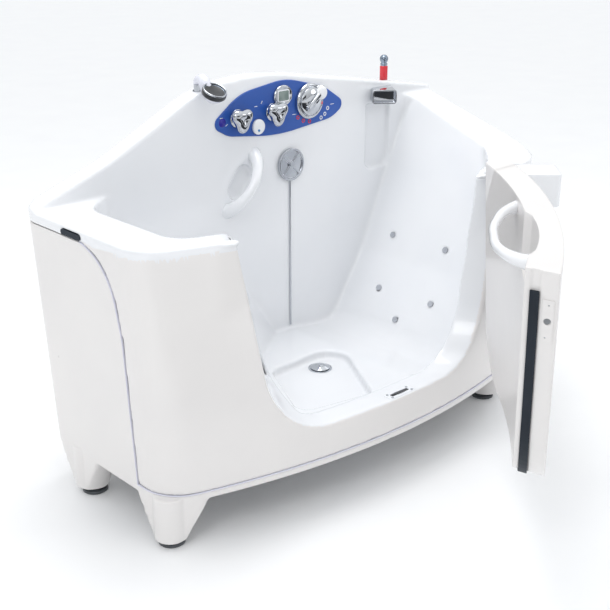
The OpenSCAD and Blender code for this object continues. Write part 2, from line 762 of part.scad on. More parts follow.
// Upright risers joined by a cross pipe, with a branch to each jet's tail
module jet_manifold() {
    color("#dfe0e0") difference() {
        union() {
            for (j = jets_at) {
                t = j[0] > 340 ? recline_tilt[0] : recline_tilt[1];
                x = x1 - j[0] + (jet_tail - 8) * sin(t);
                z = recline_z(j[0]) - (jet_tail - 8) * cos(t);
                translate([x, j[1], z]) rotate([0, 90, 0]) cylinder(d = jet_d, h = max(1, manifold_x - x));
                translate([manifold_x, j[1], pump_z]) cylinder(d = 24, h = z - pump_z + 14);
            }
            translate([manifold_x, jets_at[3][1] - 14, pump_z]) rotate([-90, 0, 0])
                cylinder(d = 28, h = jets_at[0][1] - jets_at[3][1] + 28);
            translate([manifold_x, pump_y, pump_z]) rotate([0, 90, 0]) cylinder(d = 28, h = 30);
        }
        jet_tails();
    }
}
pump_z = frame_z + rail + 62;
pump_y = 240;
module jet_pump() {
    color("#4a5058") translate([feet[1].x, 190, 0]) {
        translate([-60, -70, pump_z - 62]) cube([120, 140, 12]);
        translate([0, -60, pump_z]) rotate([-90, 0, 0]) cylinder(d = 104, h = 130);
        translate([0, -92, pump_z]) rotate([-90, 0, 0]) cylinder(d = 80, h = 34);
        translate([manifold_x + 30 - feet[1].x, pump_y - 190, pump_z]) rotate([0, 90, 0])
            cylinder(d = 28, h = feet[1].x - manifold_x - 30);
    }
}

// ---- Grab handle on the splash wall ----

// Ends of the handle's centre line, on the wall
grab_ends = [[x0 + 676, rim_h - 122], [x0 + 788, rim_h + 30]];
grab_reach = 56;
grab_mid = (grab_ends[0] + grab_ends[1]) / 2;
grab_half = norm(grab_ends[1] - grab_ends[0]) / 2;
grab_tilt = atan2(grab_ends[1].y - grab_ends[0].y, grab_ends[1].x - grab_ends[0].x);
grab_r = (grab_half * grab_half + grab_reach * grab_reach) / (2 * grab_reach);
module wall_grab_handle() {
    color(white) intersection() {
        translate([grab_mid.x, splash_y + grab_r - grab_reach, grab_mid.y]) rotate([0, -grab_tilt, 0])
            rotate_extrude($fn = 96) translate([grab_r, 0]) circle(d = grip_d);
        translate([-far, splash_y - far, -far]) cube([2 * far, far, 2 * far]);
    }
}
module handle_recess(g) {
    half = grab_half - grip_d / 2 - 22;
    translate([grab_mid.x, 0, grab_mid.y]) rotate([0, -grab_tilt, 0])
        along_y(splash_y - 1, splash_y + 18 + g)
            polygon(rounded([[-half - g, -34 - g, 33], [half + g, -34 - g, 33], [half + g, 34 + g, 33],
                [-half - g, 34 + g, 33]], 8));
}

// Holes through the bath moulding for its fittings
module fitting_holes() {
    spindle_holes();
    on_splash(overflow, splash_y + wall + 1) cylinder(d = 40, h = wall + 2);
    translate([drain.x, drain.y, drain_z - wall - 1]) cylinder(d = waste_d + 12.4, h = wall + 2);
    translate([shower_x, shower_y, shower_z - 60]) cylinder(d = 34.2, h = 120);
    translate([vent.x, vent.y, vent_z - 20]) cylinder(d = 34.4, h = 60);
    on_splash([spout_x, panel_z - 6], splash_y + wall + 1) cylinder(d = tail_d + 0.4, h = wall + 4);
    for (j = jets_at) at_jet(j) translate([0, 0, -30]) cylinder(d = jet_d - 5.8, h = 60);
    along_x(x0 - 5, x0 + wall + 1)
        slot_outline(0.2);
    sill_pocket(0.2);
    latch_hole();
}

// ---- Sill plate and latch keeper ----

sill_x = x0 + 820;
sill_plate_w = 106;
sill_plate_d = 33;
sill_y = front_at(sill_x) + 26;
sill_t = 3;
module sill_pocket(c) {
    translate([sill_x - sill_plate_w / 2 - c, sill_y - sill_plate_d / 2 - c, sill_h - sill_t])
        cube([sill_plate_w + 2 * c, sill_plate_d + 2 * c, 40]);
    translate([sill_x - 16 - c, sill_y - 10 - c, sill_h - bolt_throw - 18])
        cube([32 + 2 * c, 20 + 2 * c, bolt_throw + 38]);
    for (sx = [-1, 1], sy = [-1, 1]) translate([sill_x + sx * 42, sill_y + sy * 11, sill_h - 20])
        cylinder(d = 4 + 2 * c, h = 30);
}
module sill_plate() {
    color(chrome) difference() {
        translate([sill_x - sill_plate_w / 2, sill_y - sill_plate_d / 2, sill_h - sill_t])
            cube([sill_plate_w, sill_plate_d, sill_t]);
        translate([sill_x - 15, sill_y - 9, sill_h - 10]) cube([30, 18, 20]);
        for (sx = [-1, 1], sy = [-1, 1]) translate([sill_x + sx * 42, sill_y + sy * 11, sill_h - 10])
            cylinder(d = 4.2, h = 20);
    }
}
module sill_screws() {
    color(steel) for (sx = [-1, 1], sy = [-1, 1]) translate([sill_x + sx * 42, sill_y + sy * 11, 0]) {
        translate([0, 0, sill_h - sill_t - 9]) cylinder(d = 4, h = 9.5 + sill_t);
        translate([0, 0, sill_h]) cylinder(d = 8, h = 1.6);
    }
}

// Line of the side bolt: from the door's free edge to the latch case, inside the door
latch_z = rim_h - 75;
rod_z = rim_h - 115;
latch_r = bow_r - 22;               // distance of the bolt from the bow's centre
bolt_d = 16;
rod_d = 8;
case_w = 120;
function edge_at(y, z) = door_xl + jamb_lean * (rim_h - z) + jamb_slant * (y - front_at(door_xl));
latch_y = front_at(door_xl + 26, latch_r);
latch_at = [edge_at(latch_y, latch_z), latch_y];
rod_end = [sill_x - case_w / 2, front_at(sill_x - case_w / 2, latch_r)];
latch_turn = atan2(rod_end.y - latch_at.y, rod_end.x - latch_at.x);
// Children with +X along the side bolt, away from the jamb
module at_latch(z) { translate([latch_at.x, latch_at.y, z]) rotate([0, 0, latch_turn]) children(); }
module latch_hole() {
    at_latch(latch_z) rotate([0, 90, 0]) translate([0, 0, -50]) cylinder(d = bolt_d + 4, h = 90);
}
module latch_keeper() {
    color(steel) difference() {
        intersection() {
            at_latch(latch_z) rotate([0, 90, 0]) translate([0, 0, -bolt_throw - 10]) difference() {
                cylinder(d = bolt_d + 10, h = bolt_throw + 24);
                translate([0, 0, 4]) cylinder(d = bolt_d + 4, h = bolt_throw + 44);
            }
            translate([bow.x, bow.y, latch_z - 60]) cylinder(r = bow_r - wall - 0.3, h = 120, $fn = 900);
        }
        doorway(wall);
    }
}

// ---- Hinge ----

hinge = [x1 - 305, front_at(x1 - 305) - hinge_off];
upper_z = [rim_h - 65, rim_h - 33];
lower_z = [sill_h + 118, sill_h + 168];
knuckle_d = hinge_pin_d + 16;
knuckle_h = 16;
// One bracket on the outer shell; the door's knuckle spans z[0] to z[1] between its two
module bracket(z) {
    x_leaf = hinge.x + 12;
    color(steel) difference() {
        union() {
            for (k = [z[0] - knuckle_h - 0.5, z[1] + 0.5]) {
                translate([hinge.x, hinge.y, k]) cylinder(d = knuckle_d, h = knuckle_h);
                translate([hinge.x, hinge.y - knuckle_d / 2 + 4, k])
                    cube([40, hinge_off + 30, knuckle_h]);
            }
            translate([x_leaf, front_at(hinge.x + 60) - 14, z[0] - knuckle_h - 0.5])
                cube([84, 40, z[1] - z[0] + 2 * knuckle_h + 1]);
        }
        translate([bow.x, bow.y, z[0] - 60]) cylinder(r = bow_r, h = z[1] - z[0] + 120, $fn = 900);
        translate([hinge.x, hinge.y, z[0] - 60]) cylinder(d = hinge_pin_d + 2 * run_gap, h = z[1] - z[0] + 120);
    }
}
module hinge_brackets() {
    bracket(upper_z);
    bracket(lower_z);
}
module hinge_pins() {
    color(chrome) for (z = [upper_z, lower_z]) translate([hinge.x, hinge.y, z[0] - knuckle_h - 3]) {
        cylinder(d = hinge_pin_d, h = z[1] - z[0] + 2 * knuckle_h + 6);
        translate([0, 0, z[1] - z[0] + 2 * knuckle_h + 5]) cylinder(d = hinge_pin_d + 6, h = 4);
    }
}

// ---- Door, drawn closed and then turned open about the hinge axis ----

module opened() {
    translate([hinge.x, hinge.y, 0]) rotate([0, 0, door_open]) translate([-hinge.x, -hinge.y, 0]) children();
}
// Part of the doorway's plug between two radii of the bow, c inside the doorway
module door_slab(ra, rb, c, top = door_top) {
    intersection() {
        difference() {
            translate([bow.x, bow.y, sill_h]) cylinder(r = rb, h = top - sill_h, $fn = 900);
            translate([bow.x, bow.y, sill_h - 1]) cylinder(r = ra, h = top - sill_h + 2, $fn = 900);
        }
        doorway(-c);
    }
}
skin_t = 44;
seal_t = 22;
neck = 4;
shell_t = 5;
r_seal = bow_r - skin_t;            // outer face of the gasket's groove
r_liner = r_seal - seal_t;          // inner face of the gasket's groove
r_inner = bow_r - front_wall;
r_joint = (r_seal + r_liner) / 2;
side_wall = neck + shell_t;

// Scoop in the door's top inner edge, behind its grab handle
scoop_half = 165;
scoop_depth = 38;
scoop_r = (scoop_half * scoop_half + scoop_depth * scoop_depth) / (2 * scoop_depth);
grip_x = x0 + 550;
grip_a = asin((grip_x - bow.x) / r_inner);
function on_bow(r) = [bow.x + r * sin(grip_a), bow.y - r * cos(grip_a)];
module scoop(g) {
    p = on_bow(r_inner + scoop_depth - scoop_r);
    translate([p.x, p.y, door_top - 150 - g]) intersection() {
        cylinder(r = scoop_r + g, h = 200, $fn = 200);
        rotate([0, 0, grip_a]) translate([-scoop_half - 20 - g, -scoop_r - 20, 0])
            cube([2 * (scoop_half + 20 + g), 200, 200]);
    }
}
module door_hollow() {
    difference() {
        door_slab(r_inner + shell_t, bow_r - shell_t, door_gap + side_wall, door_top - shell_t);
        scoop(shell_t);
    }
}
module door_skin() {
    color(shell_white) opened() difference() {
        union() {
            door_slab(r_seal, bow_r, door_gap);
            door_slab(r_joint, r_seal + 0.01, door_gap + neck);
        }
        door_hollow();
        scoop(0);
        door_bolt_holes();
        edge_screws(0.2);
    }
}
module door_liner() {
    color(white) opened() difference() {
        union() {
            door_slab(r_inner, r_liner, door_gap);
            door_slab(r_liner - 0.01, r_joint, door_gap + neck);
        }
        door_hollow();
        scoop(0);
        door_bolt_holes();
        liner_slots();
    }
}
module liner_slots() {
    for (dx = [-34, 34]) {
        p = [grip_x + dx, front_at(grip_x + dx, r_inner)];
        translate([p.x - 5, p.y - 12, rim_h - 175]) cube([10, 24, 26]);
    }
}
module door_gasket() {
    color(navy) opened() difference() {
        door_slab(r_liner, r_seal, 0.6, rim_h - 4);
        door_slab(r_liner - 1, r_seal + 1, door_gap + neck, rim_h);
    }
}
// Steel frame inside the door: a ladder that follows the bow
frame_r = [r_inner + shell_t, r_inner + shell_t + 12];
module door_frame() {
    color(steel) opened() intersection() {
        difference() {
            door_slab(frame_r[0], frame_r[1], door_gap + side_wall, door_top - 190);
            door_slab(frame_r[0] - 1, frame_r[1] + 1, door_gap + side_wall + 30, door_top - 225);
        }
        translate([-far, -far, 0]) cube([2 * far, 2 * far, door_top - 190]);
    }
}
handle_reach = 70;
handle_half = 178;
handle_r = (handle_half * handle_half + handle_reach * handle_reach) / (2 * handle_reach);
module door_grab_handle() {
    p = on_bow(r_inner - handle_reach + handle_r);
    color(white) opened() intersection() {
        translate([p.x, p.y, door_top - 46]) rotate_extrude($fn = 144) translate([handle_r, 0]) circle(d = grip_d);
        translate([bow.x, bow.y, 0]) cylinder(r = r_inner, h = door_top + 60, $fn = 900);
    }
}

// Housing on the door's outer face, with the upper arm out to the hinge axis
house = [130, 100, 98];
house_x = hinge.x - 210;
module hinge_housing() {
    color(white) opened() difference() {
        union() {
            translate([0, 0, door_top - house.z]) linear_extrude(height = house.z)
                polygon(rounded([[house_x, front_at(house_x) - house.y, 14],
                    [house_x + house.x, front_at(house_x) - house.y, 14],
                    [house_x + house.x, front_at(house_x) + 30, 0], [house_x, front_at(house_x) + 30, 0]], 6));
            hinge_arm(upper_z, house_x + house.x - 40);
        }
        translate([bow.x, bow.y, 0]) cylinder(r = bow_r, h = door_top + 60, $fn = 900);
        hinge_bore();
    }
}
module hinge_arm(z, x_from) {
    translate([hinge.x, hinge.y, z[0]]) cylinder(d = knuckle_d, h = z[1] - z[0]);
    translate([x_from, hinge.y - knuckle_d / 2, z[0]]) cube([hinge.x - x_from, knuckle_d / 2 + 8, z[1] - z[0]]);
}
module hinge_bore() {
    translate([hinge.x, hinge.y, 0]) cylinder(d = hinge_pin_d + 2 * run_gap, h = door_top + 60);
}
module lower_hinge_arm() {
    x = hinge.x - 290;
    color(steel) opened() difference() {
        union() {
            hinge_arm(lower_z, x + 60);
            translate([x, front_at(x) - 14, lower_z[0] - 10]) cube([100, 50, lower_z[1] - lower_z[0] + 20]);
        }
        translate([bow.x, bow.y, 0]) cylinder(r = bow_r, h = door_top + 60, $fn = 900);
        hinge_bore();
    }
}

// ---- Latch: a lever outside turns a cam that draws both bolts ----

lever_at = [sill_x, rod_z];
lever_y = front_at(lever_at.x);
lever_shaft_d = spindle_d + 4;
bolt_tip = 2;                       // how far the drawn bolts stay inside the door
module lever_axis(y) { translate([lever_at.x, y, lever_at.y]) rotate([90, 0, 0]) children(); }
module lever_bore() { lever_axis(lever_y + 44) cylinder(d = lever_shaft_d + 2 * run_gap, h = 60); }
module side_rod_line(d, x_from, len, z) { at_latch(z) translate([x_from, 0, 0]) rotate([0, 90, 0]) cylinder(d = d, h = len); }
rod_len = norm(rod_end - latch_at);
module door_bolt_holes() {
    side_rod_line(bolt_d + 2 * run_gap, -10, 60, latch_z);
    translate([sill_x - 12 - run_gap, sill_y - 7 - run_gap, sill_h - 5])
        cube([24 + 2 * run_gap, 14 + 2 * run_gap, 60]);
    lever_bore();
}
module latch_case() {
    color(steel) opened() difference() {
        intersection() {
            translate([lever_at.x - case_w / 2, lever_y, lever_at.y - 45]) cube([case_w, 40, 90]);
            translate([bow.x, bow.y, 0]) cylinder(r = bow_r - shell_t, h = door_top, $fn = 900);
        }
        translate([lever_at.x - case_w / 2 + 5, lever_y + 10, lever_at.y - 40]) cube([case_w - 10, 25, 80]);
        lever_bore();
        side_rod_line(rod_d + 2 * run_gap, rod_len - 40, 60, rod_z);
        translate([sill_x, sill_y, sill_h]) cylinder(d = rod_d + 2 * run_gap, h = lever_at.y - sill_h - 30);
    }
}
module latch_lever() {
    color(chrome) opened() lever_axis(lever_y) {
        translate([0, 0, -30]) cylinder(d = lever_shaft_d, h = 36);
        translate([0, 0, 2]) cylinder(d = 46, h = 7);
        translate([0, 0, 9]) cylinder(d = 24, h = 22);
        hull() {
            translate([0, 0, 31]) cylinder(d = 26, h = 12, $fn = 32);
            translate([0, -120, 33]) cylinder(d = 18, h = 10, $fn = 32);
        }
    }
}
// Side bolt, its step down and the rod that runs into the case
module side_bolt() {
    color(steel) opened() {
        side_rod_line(bolt_d, door_gap + bolt_tip, 70, latch_z);
        at_latch(rod_z - rod_d / 2) translate([60, -rod_d / 2, 0])
            cube([rod_d, rod_d, latch_z - rod_z + rod_d / 2]);
        side_rod_line(rod_d, 60, rod_len - 60 + 38, rod_z);
    }
}
module bottom_bolt() {
    color(steel) opened() {
        translate([sill_x - 12, sill_y - 7, sill_h + door_gap + bolt_tip]) cube([24, 14, 90]);
        translate([sill_x, sill_y, sill_h + 80]) cylinder(d = rod_d, h = lever_at.y - 12 - sill_h - 80);
    }
}
plate_r = [latch_r - 13, latch_r + 13];
plate_t = 2;
module edge_screws(extra) {
    n_turn = 180 - atan(jamb_slant);
    n_dip = atan(jamb_lean / sqrt(1 + jamb_slant * jamb_slant));
    for (z = [latch_z - 42, latch_z + 42]) {
        x = edge_at(latch_at.y, z) + (door_gap - plate_t) * sqrt(1 + jamb_slant * jamb_slant);
        translate([x, latch_at.y, z]) rotate([0, 90 + n_dip, n_turn]) translate([0, 0, -10])
            cylinder(d = 4 + extra, h = extra > 0 ? 20 : 10.2);
    }
}
module latch_faceplate() {
    color("#d8d8d4") opened() difference() {
        door_slab(plate_r[0], plate_r[1], door_gap - plate_t);
        door_slab(plate_r[0] - 1, plate_r[1] + 1, door_gap);
        translate([-far, -far, 0]) cube([2 * far, 2 * far, latch_z - 55]);
        translate([-far, -far, latch_z + 55]) cube([2 * far, 2 * far, far]);
        translate([bow.x - 100, -far, 0]) cube([far, 2 * far, far]);
        side_rod_line(bolt_d + 1, -20, 60, latch_z);
        edge_screws(0.4);
    }
}
module faceplate_screws() {
    color(steel) opened() edge_screws(0);
}

bath_moulding();
outer_shell();
chassis_shell();
seam_piping();
rim_slot_insert();
support_frame();
levelling_pads();
locknuts();
control_panel();
display_bezel();
display_lens();
keypad();
keypad_button();
flow_knob();
divert_knob();
temperature_dial();
safety_button();
mixer_valve();
supply_tails();
spout_feed();
spout();
spout_mouth();
shower_holder();
hand_shower();
shower_face();
vent_post();
vent_cap();
overflow_disc();
overflow_pipe();
level_tube();
drain_plug();
drain_body();
waste_trap();
jets();
jet_manifold();
jet_pump();
wall_grab_handle();
sill_plate();
sill_screws();
latch_keeper();
hinge_brackets();
hinge_pins();
door_skin();
door_liner();
door_gasket();
door_frame();
door_grab_handle();
hinge_housing();
lower_hinge_arm();
latch_faceplate();
faceplate_screws();
latch_case();
latch_lever();
side_bolt();
bottom_bolt();
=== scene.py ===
import json
import math

import bmesh
import bpy
from mathutils import Matrix, Vector
from mathutils.bvhtree import BVHTree


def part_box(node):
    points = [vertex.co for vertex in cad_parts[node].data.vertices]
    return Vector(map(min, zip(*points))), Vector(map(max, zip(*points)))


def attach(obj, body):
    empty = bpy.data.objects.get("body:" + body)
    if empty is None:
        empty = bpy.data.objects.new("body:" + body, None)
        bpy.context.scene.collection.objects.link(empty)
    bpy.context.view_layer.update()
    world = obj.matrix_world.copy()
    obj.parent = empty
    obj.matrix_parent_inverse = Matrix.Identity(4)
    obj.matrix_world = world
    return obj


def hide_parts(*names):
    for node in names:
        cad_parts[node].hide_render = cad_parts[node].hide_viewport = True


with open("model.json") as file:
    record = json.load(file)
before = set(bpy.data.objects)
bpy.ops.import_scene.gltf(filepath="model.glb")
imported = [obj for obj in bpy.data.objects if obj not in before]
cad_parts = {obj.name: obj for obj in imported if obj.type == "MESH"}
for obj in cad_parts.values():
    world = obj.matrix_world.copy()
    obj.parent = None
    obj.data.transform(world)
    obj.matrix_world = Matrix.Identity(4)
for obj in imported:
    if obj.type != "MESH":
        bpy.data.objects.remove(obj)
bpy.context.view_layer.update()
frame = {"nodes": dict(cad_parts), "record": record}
nodes = frame["nodes"]
record = frame["record"]
bodyOf = {name: body for body, names in record["behaviour"]["bodies"].items() for name in names}
jointAt = {joint["child"]: Vector(joint["pos_m"])
           for joint in record["behaviour"]["joints"] if "pos_m" in joint}
cadWeld = 1e-5    # vertices closer than this are one: in a CAD node, and in a new shape
newWeld = 1e-6
print("frame loaded:", len(nodes), "nodes")


def middleOf(name):
    low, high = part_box(name)
    return (low + high) / 2


# ---- camera, floor and lights ----

studio = {
    "cameraPlace": (-1.494, -2.138, 1.684),
    "cameraTilt": 69.0,
    "cameraTurn": -42.97,
    "lens": 64.9,
    "sensorWidth": 36.0,
    "clipEnd": 60.0,
    "floorSize": 90.0,
    # brightness at the horizon and overhead, and the height where the second is reached
    "sky": (0.62, 1.14),
    "skyTop": 0.75,
    "skyColour": (0.97, 0.985, 1.0, 1.0),
    # name: place, aimed at, size, watts
    "lights": {
        "keySoftbox": ((-2.4, -1.6, 3.4), (0.6, 0.1, 0.4), 1.6, 22),
        "overhead": ((0.9, 0.5, 3.4), (0.7, 0.2, 0.0), 1.5, 26),
        "rightFill": ((3.6, -2.2, 1.9), (0.8, 0.0, 0.5), 1.4, 8),
    },
    # dark cards that only reflections show: place, aimed at, width, height
    "flags": {
        "flagLeft": ((-3.4, 0.2, 1.3), (0.6, 0.4, 1.0), 2.0, 1.7),
        "flagFront": ((0.2, -4.2, 1.9), (0.7, 0.4, 1.0), 3.0, 1.0),
        "flagRight": ((4.6, -1.9, 0.8), (0.8, 0.4, 1.0), 1.8, 1.6),
        "flagLow": ((2.1, -1.7, 0.03), (2.1, -1.7, 1.0), 1.2, 1.3),
        "flagNear": ((-0.75, -1.55, 0.03), (-0.75, -1.55, 1.0), 2.2, 1.5),
        "flagWell": ((0.75, -0.14, 0.74), (0.75, 0.45, 1.0), 1.25, 0.36),
        "flagOver": ((-0.2, -0.9, 3.7), (0.7, 0.3, 1.0), 2.6, 0.5),
    },
}


def aimAt(place, target):
    return (Vector(target) - Vector(place)).to_track_quat("-Z", "Y").to_euler()


def makeCamera(s):
    camera = bpy.data.cameras.new("camera")
    camera.lens = s["lens"]
    camera.sensor_width = s["sensorWidth"]
    camera.clip_end = s["clipEnd"]
    camera.dof.use_dof = False
    holder = bpy.data.objects.new("camera", camera)
    holder.location = s["cameraPlace"]
    holder.rotation_euler = (math.radians(s["cameraTilt"]), 0.0, math.radians(s["cameraTurn"]))
    bpy.context.scene.collection.objects.link(holder)
    bpy.context.scene.camera = holder


def makeLamps(s):
    for name, (place, target, size, watts) in s["lights"].items():
        lamp = bpy.data.lights.new(name, "AREA")
        lamp.shape = "DISK"
        lamp.size = size
        lamp.energy = watts
        holder = bpy.data.objects.new(name, lamp)
        holder.location = place
        holder.rotation_euler = aimAt(place, target)
        bpy.context.scene.collection.objects.link(holder)


def makeSky(s):
    # pale light that grows from the horizon upwards
    world = bpy.data.worlds.new("studio")
    world.use_nodes = True
    tree = world.node_tree
    coords = tree.nodes.new("ShaderNodeTexCoord")
    split = tree.nodes.new("ShaderNodeSeparateXYZ")
    sky = tree.nodes.new("ShaderNodeMapRange")
    sky.inputs["From Min"].default_value = 0.0
    sky.inputs["From Max"].default_value = s["skyTop"]
    sky.inputs["To Min"].default_value = s["sky"][0]
    sky.inputs["To Max"].default_value = s["sky"][1]
    tree.links.new(coords.outputs["Generated"], split.inputs["Vector"])
    tree.links.new(split.outputs["Z"], sky.inputs["Value"])
    tree.links.new(sky.outputs["Result"], tree.nodes["Background"].inputs["Strength"])
    tree.nodes["Background"].inputs["Color"].default_value = s["skyColour"]
    bpy.context.scene.world = world
    bpy.context.scene.view_settings.view_transform = "Standard"


def makeFloor(s):
    bm = bmesh.new()
    bmesh.ops.create_grid(bm, x_segments=1, y_segments=1, size=s["floorSize"] / 2)
    floor = meshObject("floor", bm)
    floor.data.materials.append(materials["paleFloor"])


def makeCards(s):
    for name, (place, target, width, height) in s["flags"].items():
        bm = bmesh.new()
        bmesh.ops.create_grid(bm, x_segments=1, y_segments=1, size=0.5)
        turn = aimAt(place, target).to_matrix().to_4x4()
        stretch = Matrix.Diagonal((width, height, 1.0, 1.0))
        bm.transform(Matrix.Translation(place) @ turn @ stretch)
        card = meshObject(name, bm)
        card.data.materials.append(materials["blackPlastic"])
        card.visible_camera = False
        card.visible_diffuse = False
        card.visible_shadow = False


# ---- mesh helpers ----

def meshObject(name, bm, smooth=False):
    mesh = bpy.data.meshes.new(name)
    bm.to_mesh(mesh)
    bm.free()
    for face in mesh.polygons:
        face.use_smooth = smooth
    piece = bpy.data.objects.new(name, mesh)
    bpy.context.scene.collection.objects.link(piece)
    return piece


def mergedCopy(*names):
    # one bmesh from CAD nodes; their loose triangles are welded
    bm = bmesh.new()
    for name in names:
        bm.from_mesh(nodes[name].data)
    bmesh.ops.remove_doubles(bm, verts=bm.verts, dist=cadWeld)
    return bm


def settle(piece):
    # bakes the piece's modifiers into its mesh
    depsgraph = bpy.context.evaluated_depsgraph_get()
    mesh = bpy.data.meshes.new_from_object(piece.evaluated_get(depsgraph))
    piece.modifiers.clear()
    old = piece.data
    piece.data = mesh
    bpy.data.meshes.remove(old)
    for face in mesh.polygons:
        face.use_smooth = True
    return piece


def moulded(name, bm, voxel, passes, triangles):
    # voxel remesh, easing of its edges, then thinning where it is flat
    piece = meshObject(name, bm)
    remesh = piece.modifiers.new("remesh", "REMESH")
    remesh.mode = "VOXEL"
    remesh.voxel_size = voxel
    ease = piece.modifiers.new("ease", "SMOOTH")
    ease.factor = 0.5
    ease.iterations = passes
    settle(piece)
    count = 2 * len(piece.data.polygons)
    if count > triangles:
        thin = piece.modifiers.new("thin", "DECIMATE")
        thin.ratio = triangles / count
        settle(piece)
    print(name, "made,", len(piece.data.polygons), "faces")
    return piece


def rounded(piece, width, segments=3):
    # live bevel on the edges sharper than 32 degrees
    bevel = piece.modifiers.new("round", "BEVEL")
    bevel.width = width
    bevel.segments = segments
    bevel.limit_method = "ANGLE"
    bevel.angle_limit = math.radians(32)
    return piece


def smoothed(piece):
    ease = piece.modifiers.new("smooth", "SUBSURF")
    ease.levels = 1
    ease.render_levels = 1
    return piece


def placedAt(place, axis):
    # local Z along the axis; local X stays level
    turn = Vector((0, 0, 1)).rotation_difference(Vector(axis))
    return Matrix.Translation(place) @ turn.to_matrix().to_4x4()


def spun(profile, steps=72):
    # (radius, height) points turned about local Z
    bm = bmesh.new()
    chain = [bm.verts.new((point[0], 0.0, point[1])) for point in profile]
    for pair in zip(chain, chain[1:]):
        bm.edges.new(pair)
    bmesh.ops.spin(bm, geom=bm.verts[:] + bm.edges[:], cent=(0, 0, 0), axis=(0, 0, 1),
                   angle=math.tau, steps=steps, use_merge=True)
    bmesh.ops.remove_doubles(bm, verts=bm.verts, dist=newWeld)
    bmesh.ops.recalc_face_normals(bm, faces=bm.faces)
    return bm


def swellLobes(bm, profile, count, swell, phase):
    # a point's third value in the profile says how far its ring follows the lobes
    follow = {round(height, 6): share for radius, height, share in profile}
    for vert in bm.verts:
        x, y, z = vert.co
        angle = math.atan2(y, x) - phase
        bulge = 1.0 + swell * follow.get(round(z, 6), 0.0) * math.cos(count * angle)
        vert.co = (x * bulge, y * bulge, z)


def turned(name, profile, place, axis=(0, -1, 0), stretch=(1.0, 1.0), lobes=None, steps=72):
    # a spun piece, stood at the place along the axis
    bm = spun(profile, steps)
    if lobes:
        swellLobes(bm, profile, *lobes)
    bmesh.ops.scale(bm, vec=(*stretch, 1.0), verts=bm.verts)
    bm.transform(placedAt(place, axis))
    return meshObject(name, bm, smooth=True)


def longEdges(bm, length):
    # a box's edges along local Z
    return [edge for edge in bm.edges if abs((edge.verts[0].co - edge.verts[1].co).z) > length / 2]


def slab(name, size, place, axis=(0, -1, 0), corner=0.004, spin=0.0):
    # a plate whose outline corners are rounded; its back lies at the place
    bm = bmesh.new()
    bmesh.ops.create_cube(bm, size=1.0)
    bm.transform(Matrix.Diagonal((*size, 1.0)))
    bmesh.ops.bevel(bm, geom=longEdges(bm, size[2]), offset=corner, affect="EDGES", segments=5,
                    profile=0.5, material=-1)
    lift = Matrix.Translation((0, 0, size[2] / 2))
    bm.transform(placedAt(place, axis) @ Matrix.Rotation(spin, 4, "Z") @ lift)
    return meshObject(name, bm, smooth=True)


def bentBar(name, points, radii):
    # a round bar through the points, as thick as the radii say
    curve = bpy.data.curves.new(name, "CURVE")
    curve.dimensions = "3D"
    curve.resolution_u = 14
    curve.bevel_depth = 1.0
    curve.bevel_resolution = 8
    curve.use_fill_caps = True
    spline = curve.splines.new("BEZIER")
    spline.bezier_points.add(len(points) - 1)
    for knot, point, radius in zip(spline.bezier_points, points, radii):
        knot.co = point
        knot.handle_left_type = "AUTO"
        knot.handle_right_type = "AUTO"
        knot.radius = radius
    holder = bpy.data.objects.new(name, curve)
    bpy.context.scene.collection.objects.link(holder)
    depsgraph = bpy.context.evaluated_depsgraph_get()
    mesh = bpy.data.meshes.new_from_object(holder.evaluated_get(depsgraph))
    bpy.data.objects.remove(holder)
    bm = bmesh.new()
    bm.from_mesh(mesh)
    bpy.data.meshes.remove(mesh)
    bmesh.ops.remove_doubles(bm, verts=bm.verts, dist=newWeld)
    bmesh.ops.recalc_face_normals(bm, faces=bm.faces)
    return meshObject(name, bm, smooth=True)


# ---- materials ----

def newMaterial(name):
    material = bpy.data.materials.new(name)
    material.use_nodes = True
    tree = material.node_tree
    return material, tree, tree.nodes["Principled BSDF"]


def noiseOf(tree, scale, detail=3.0, stretch=(1.0, 1.0, 1.0)):
    coords = tree.nodes.new("ShaderNodeTexCoord")
    mapping = tree.nodes.new("ShaderNodeMapping")
    mapping.inputs["Scale"].default_value = stretch
    noise = tree.nodes.new("ShaderNodeTexNoise")
    noise.inputs["Scale"].default_value = scale
    noise.inputs["Detail"].default_value = detail
    tree.links.new(coords.outputs["Object"], mapping.inputs["Vector"])
    tree.links.new(mapping.outputs["Vector"], noise.inputs["Vector"])
    return noise.outputs["Fac"]


def rampOf(tree, source, stops):
    ramp = tree.nodes.new("ShaderNodeValToRGB")
    for element, (place, colour) in zip(ramp.color_ramp.elements, stops):
        element.position = place
        element.color = colour
    tree.links.new(source, ramp.inputs["Fac"])
    return ramp.outputs["Color"]


def rangeOf(tree, source, low, high):
    span = tree.nodes.new("ShaderNodeMapRange")
    span.inputs["To Min"].default_value = low
    span.inputs["To Max"].default_value = high
    tree.links.new(source, span.inputs["Value"])
    return span.outputs["Result"]


def bumpOf(tree, shader, source, strength, distance):
    bump = tree.nodes.new("ShaderNodeBump")
    bump.inputs["Strength"].default_value = strength
    bump.inputs["Distance"].default_value = distance
    tree.links.new(source, bump.inputs["Height"])
    tree.links.new(bump.outputs["Normal"], shader.inputs["Normal"])


# what a finish has unless its own entry says otherwise
plainFinish = {"metal": 0.0, "coat": 0.0, "stretch": (1, 1, 1)}
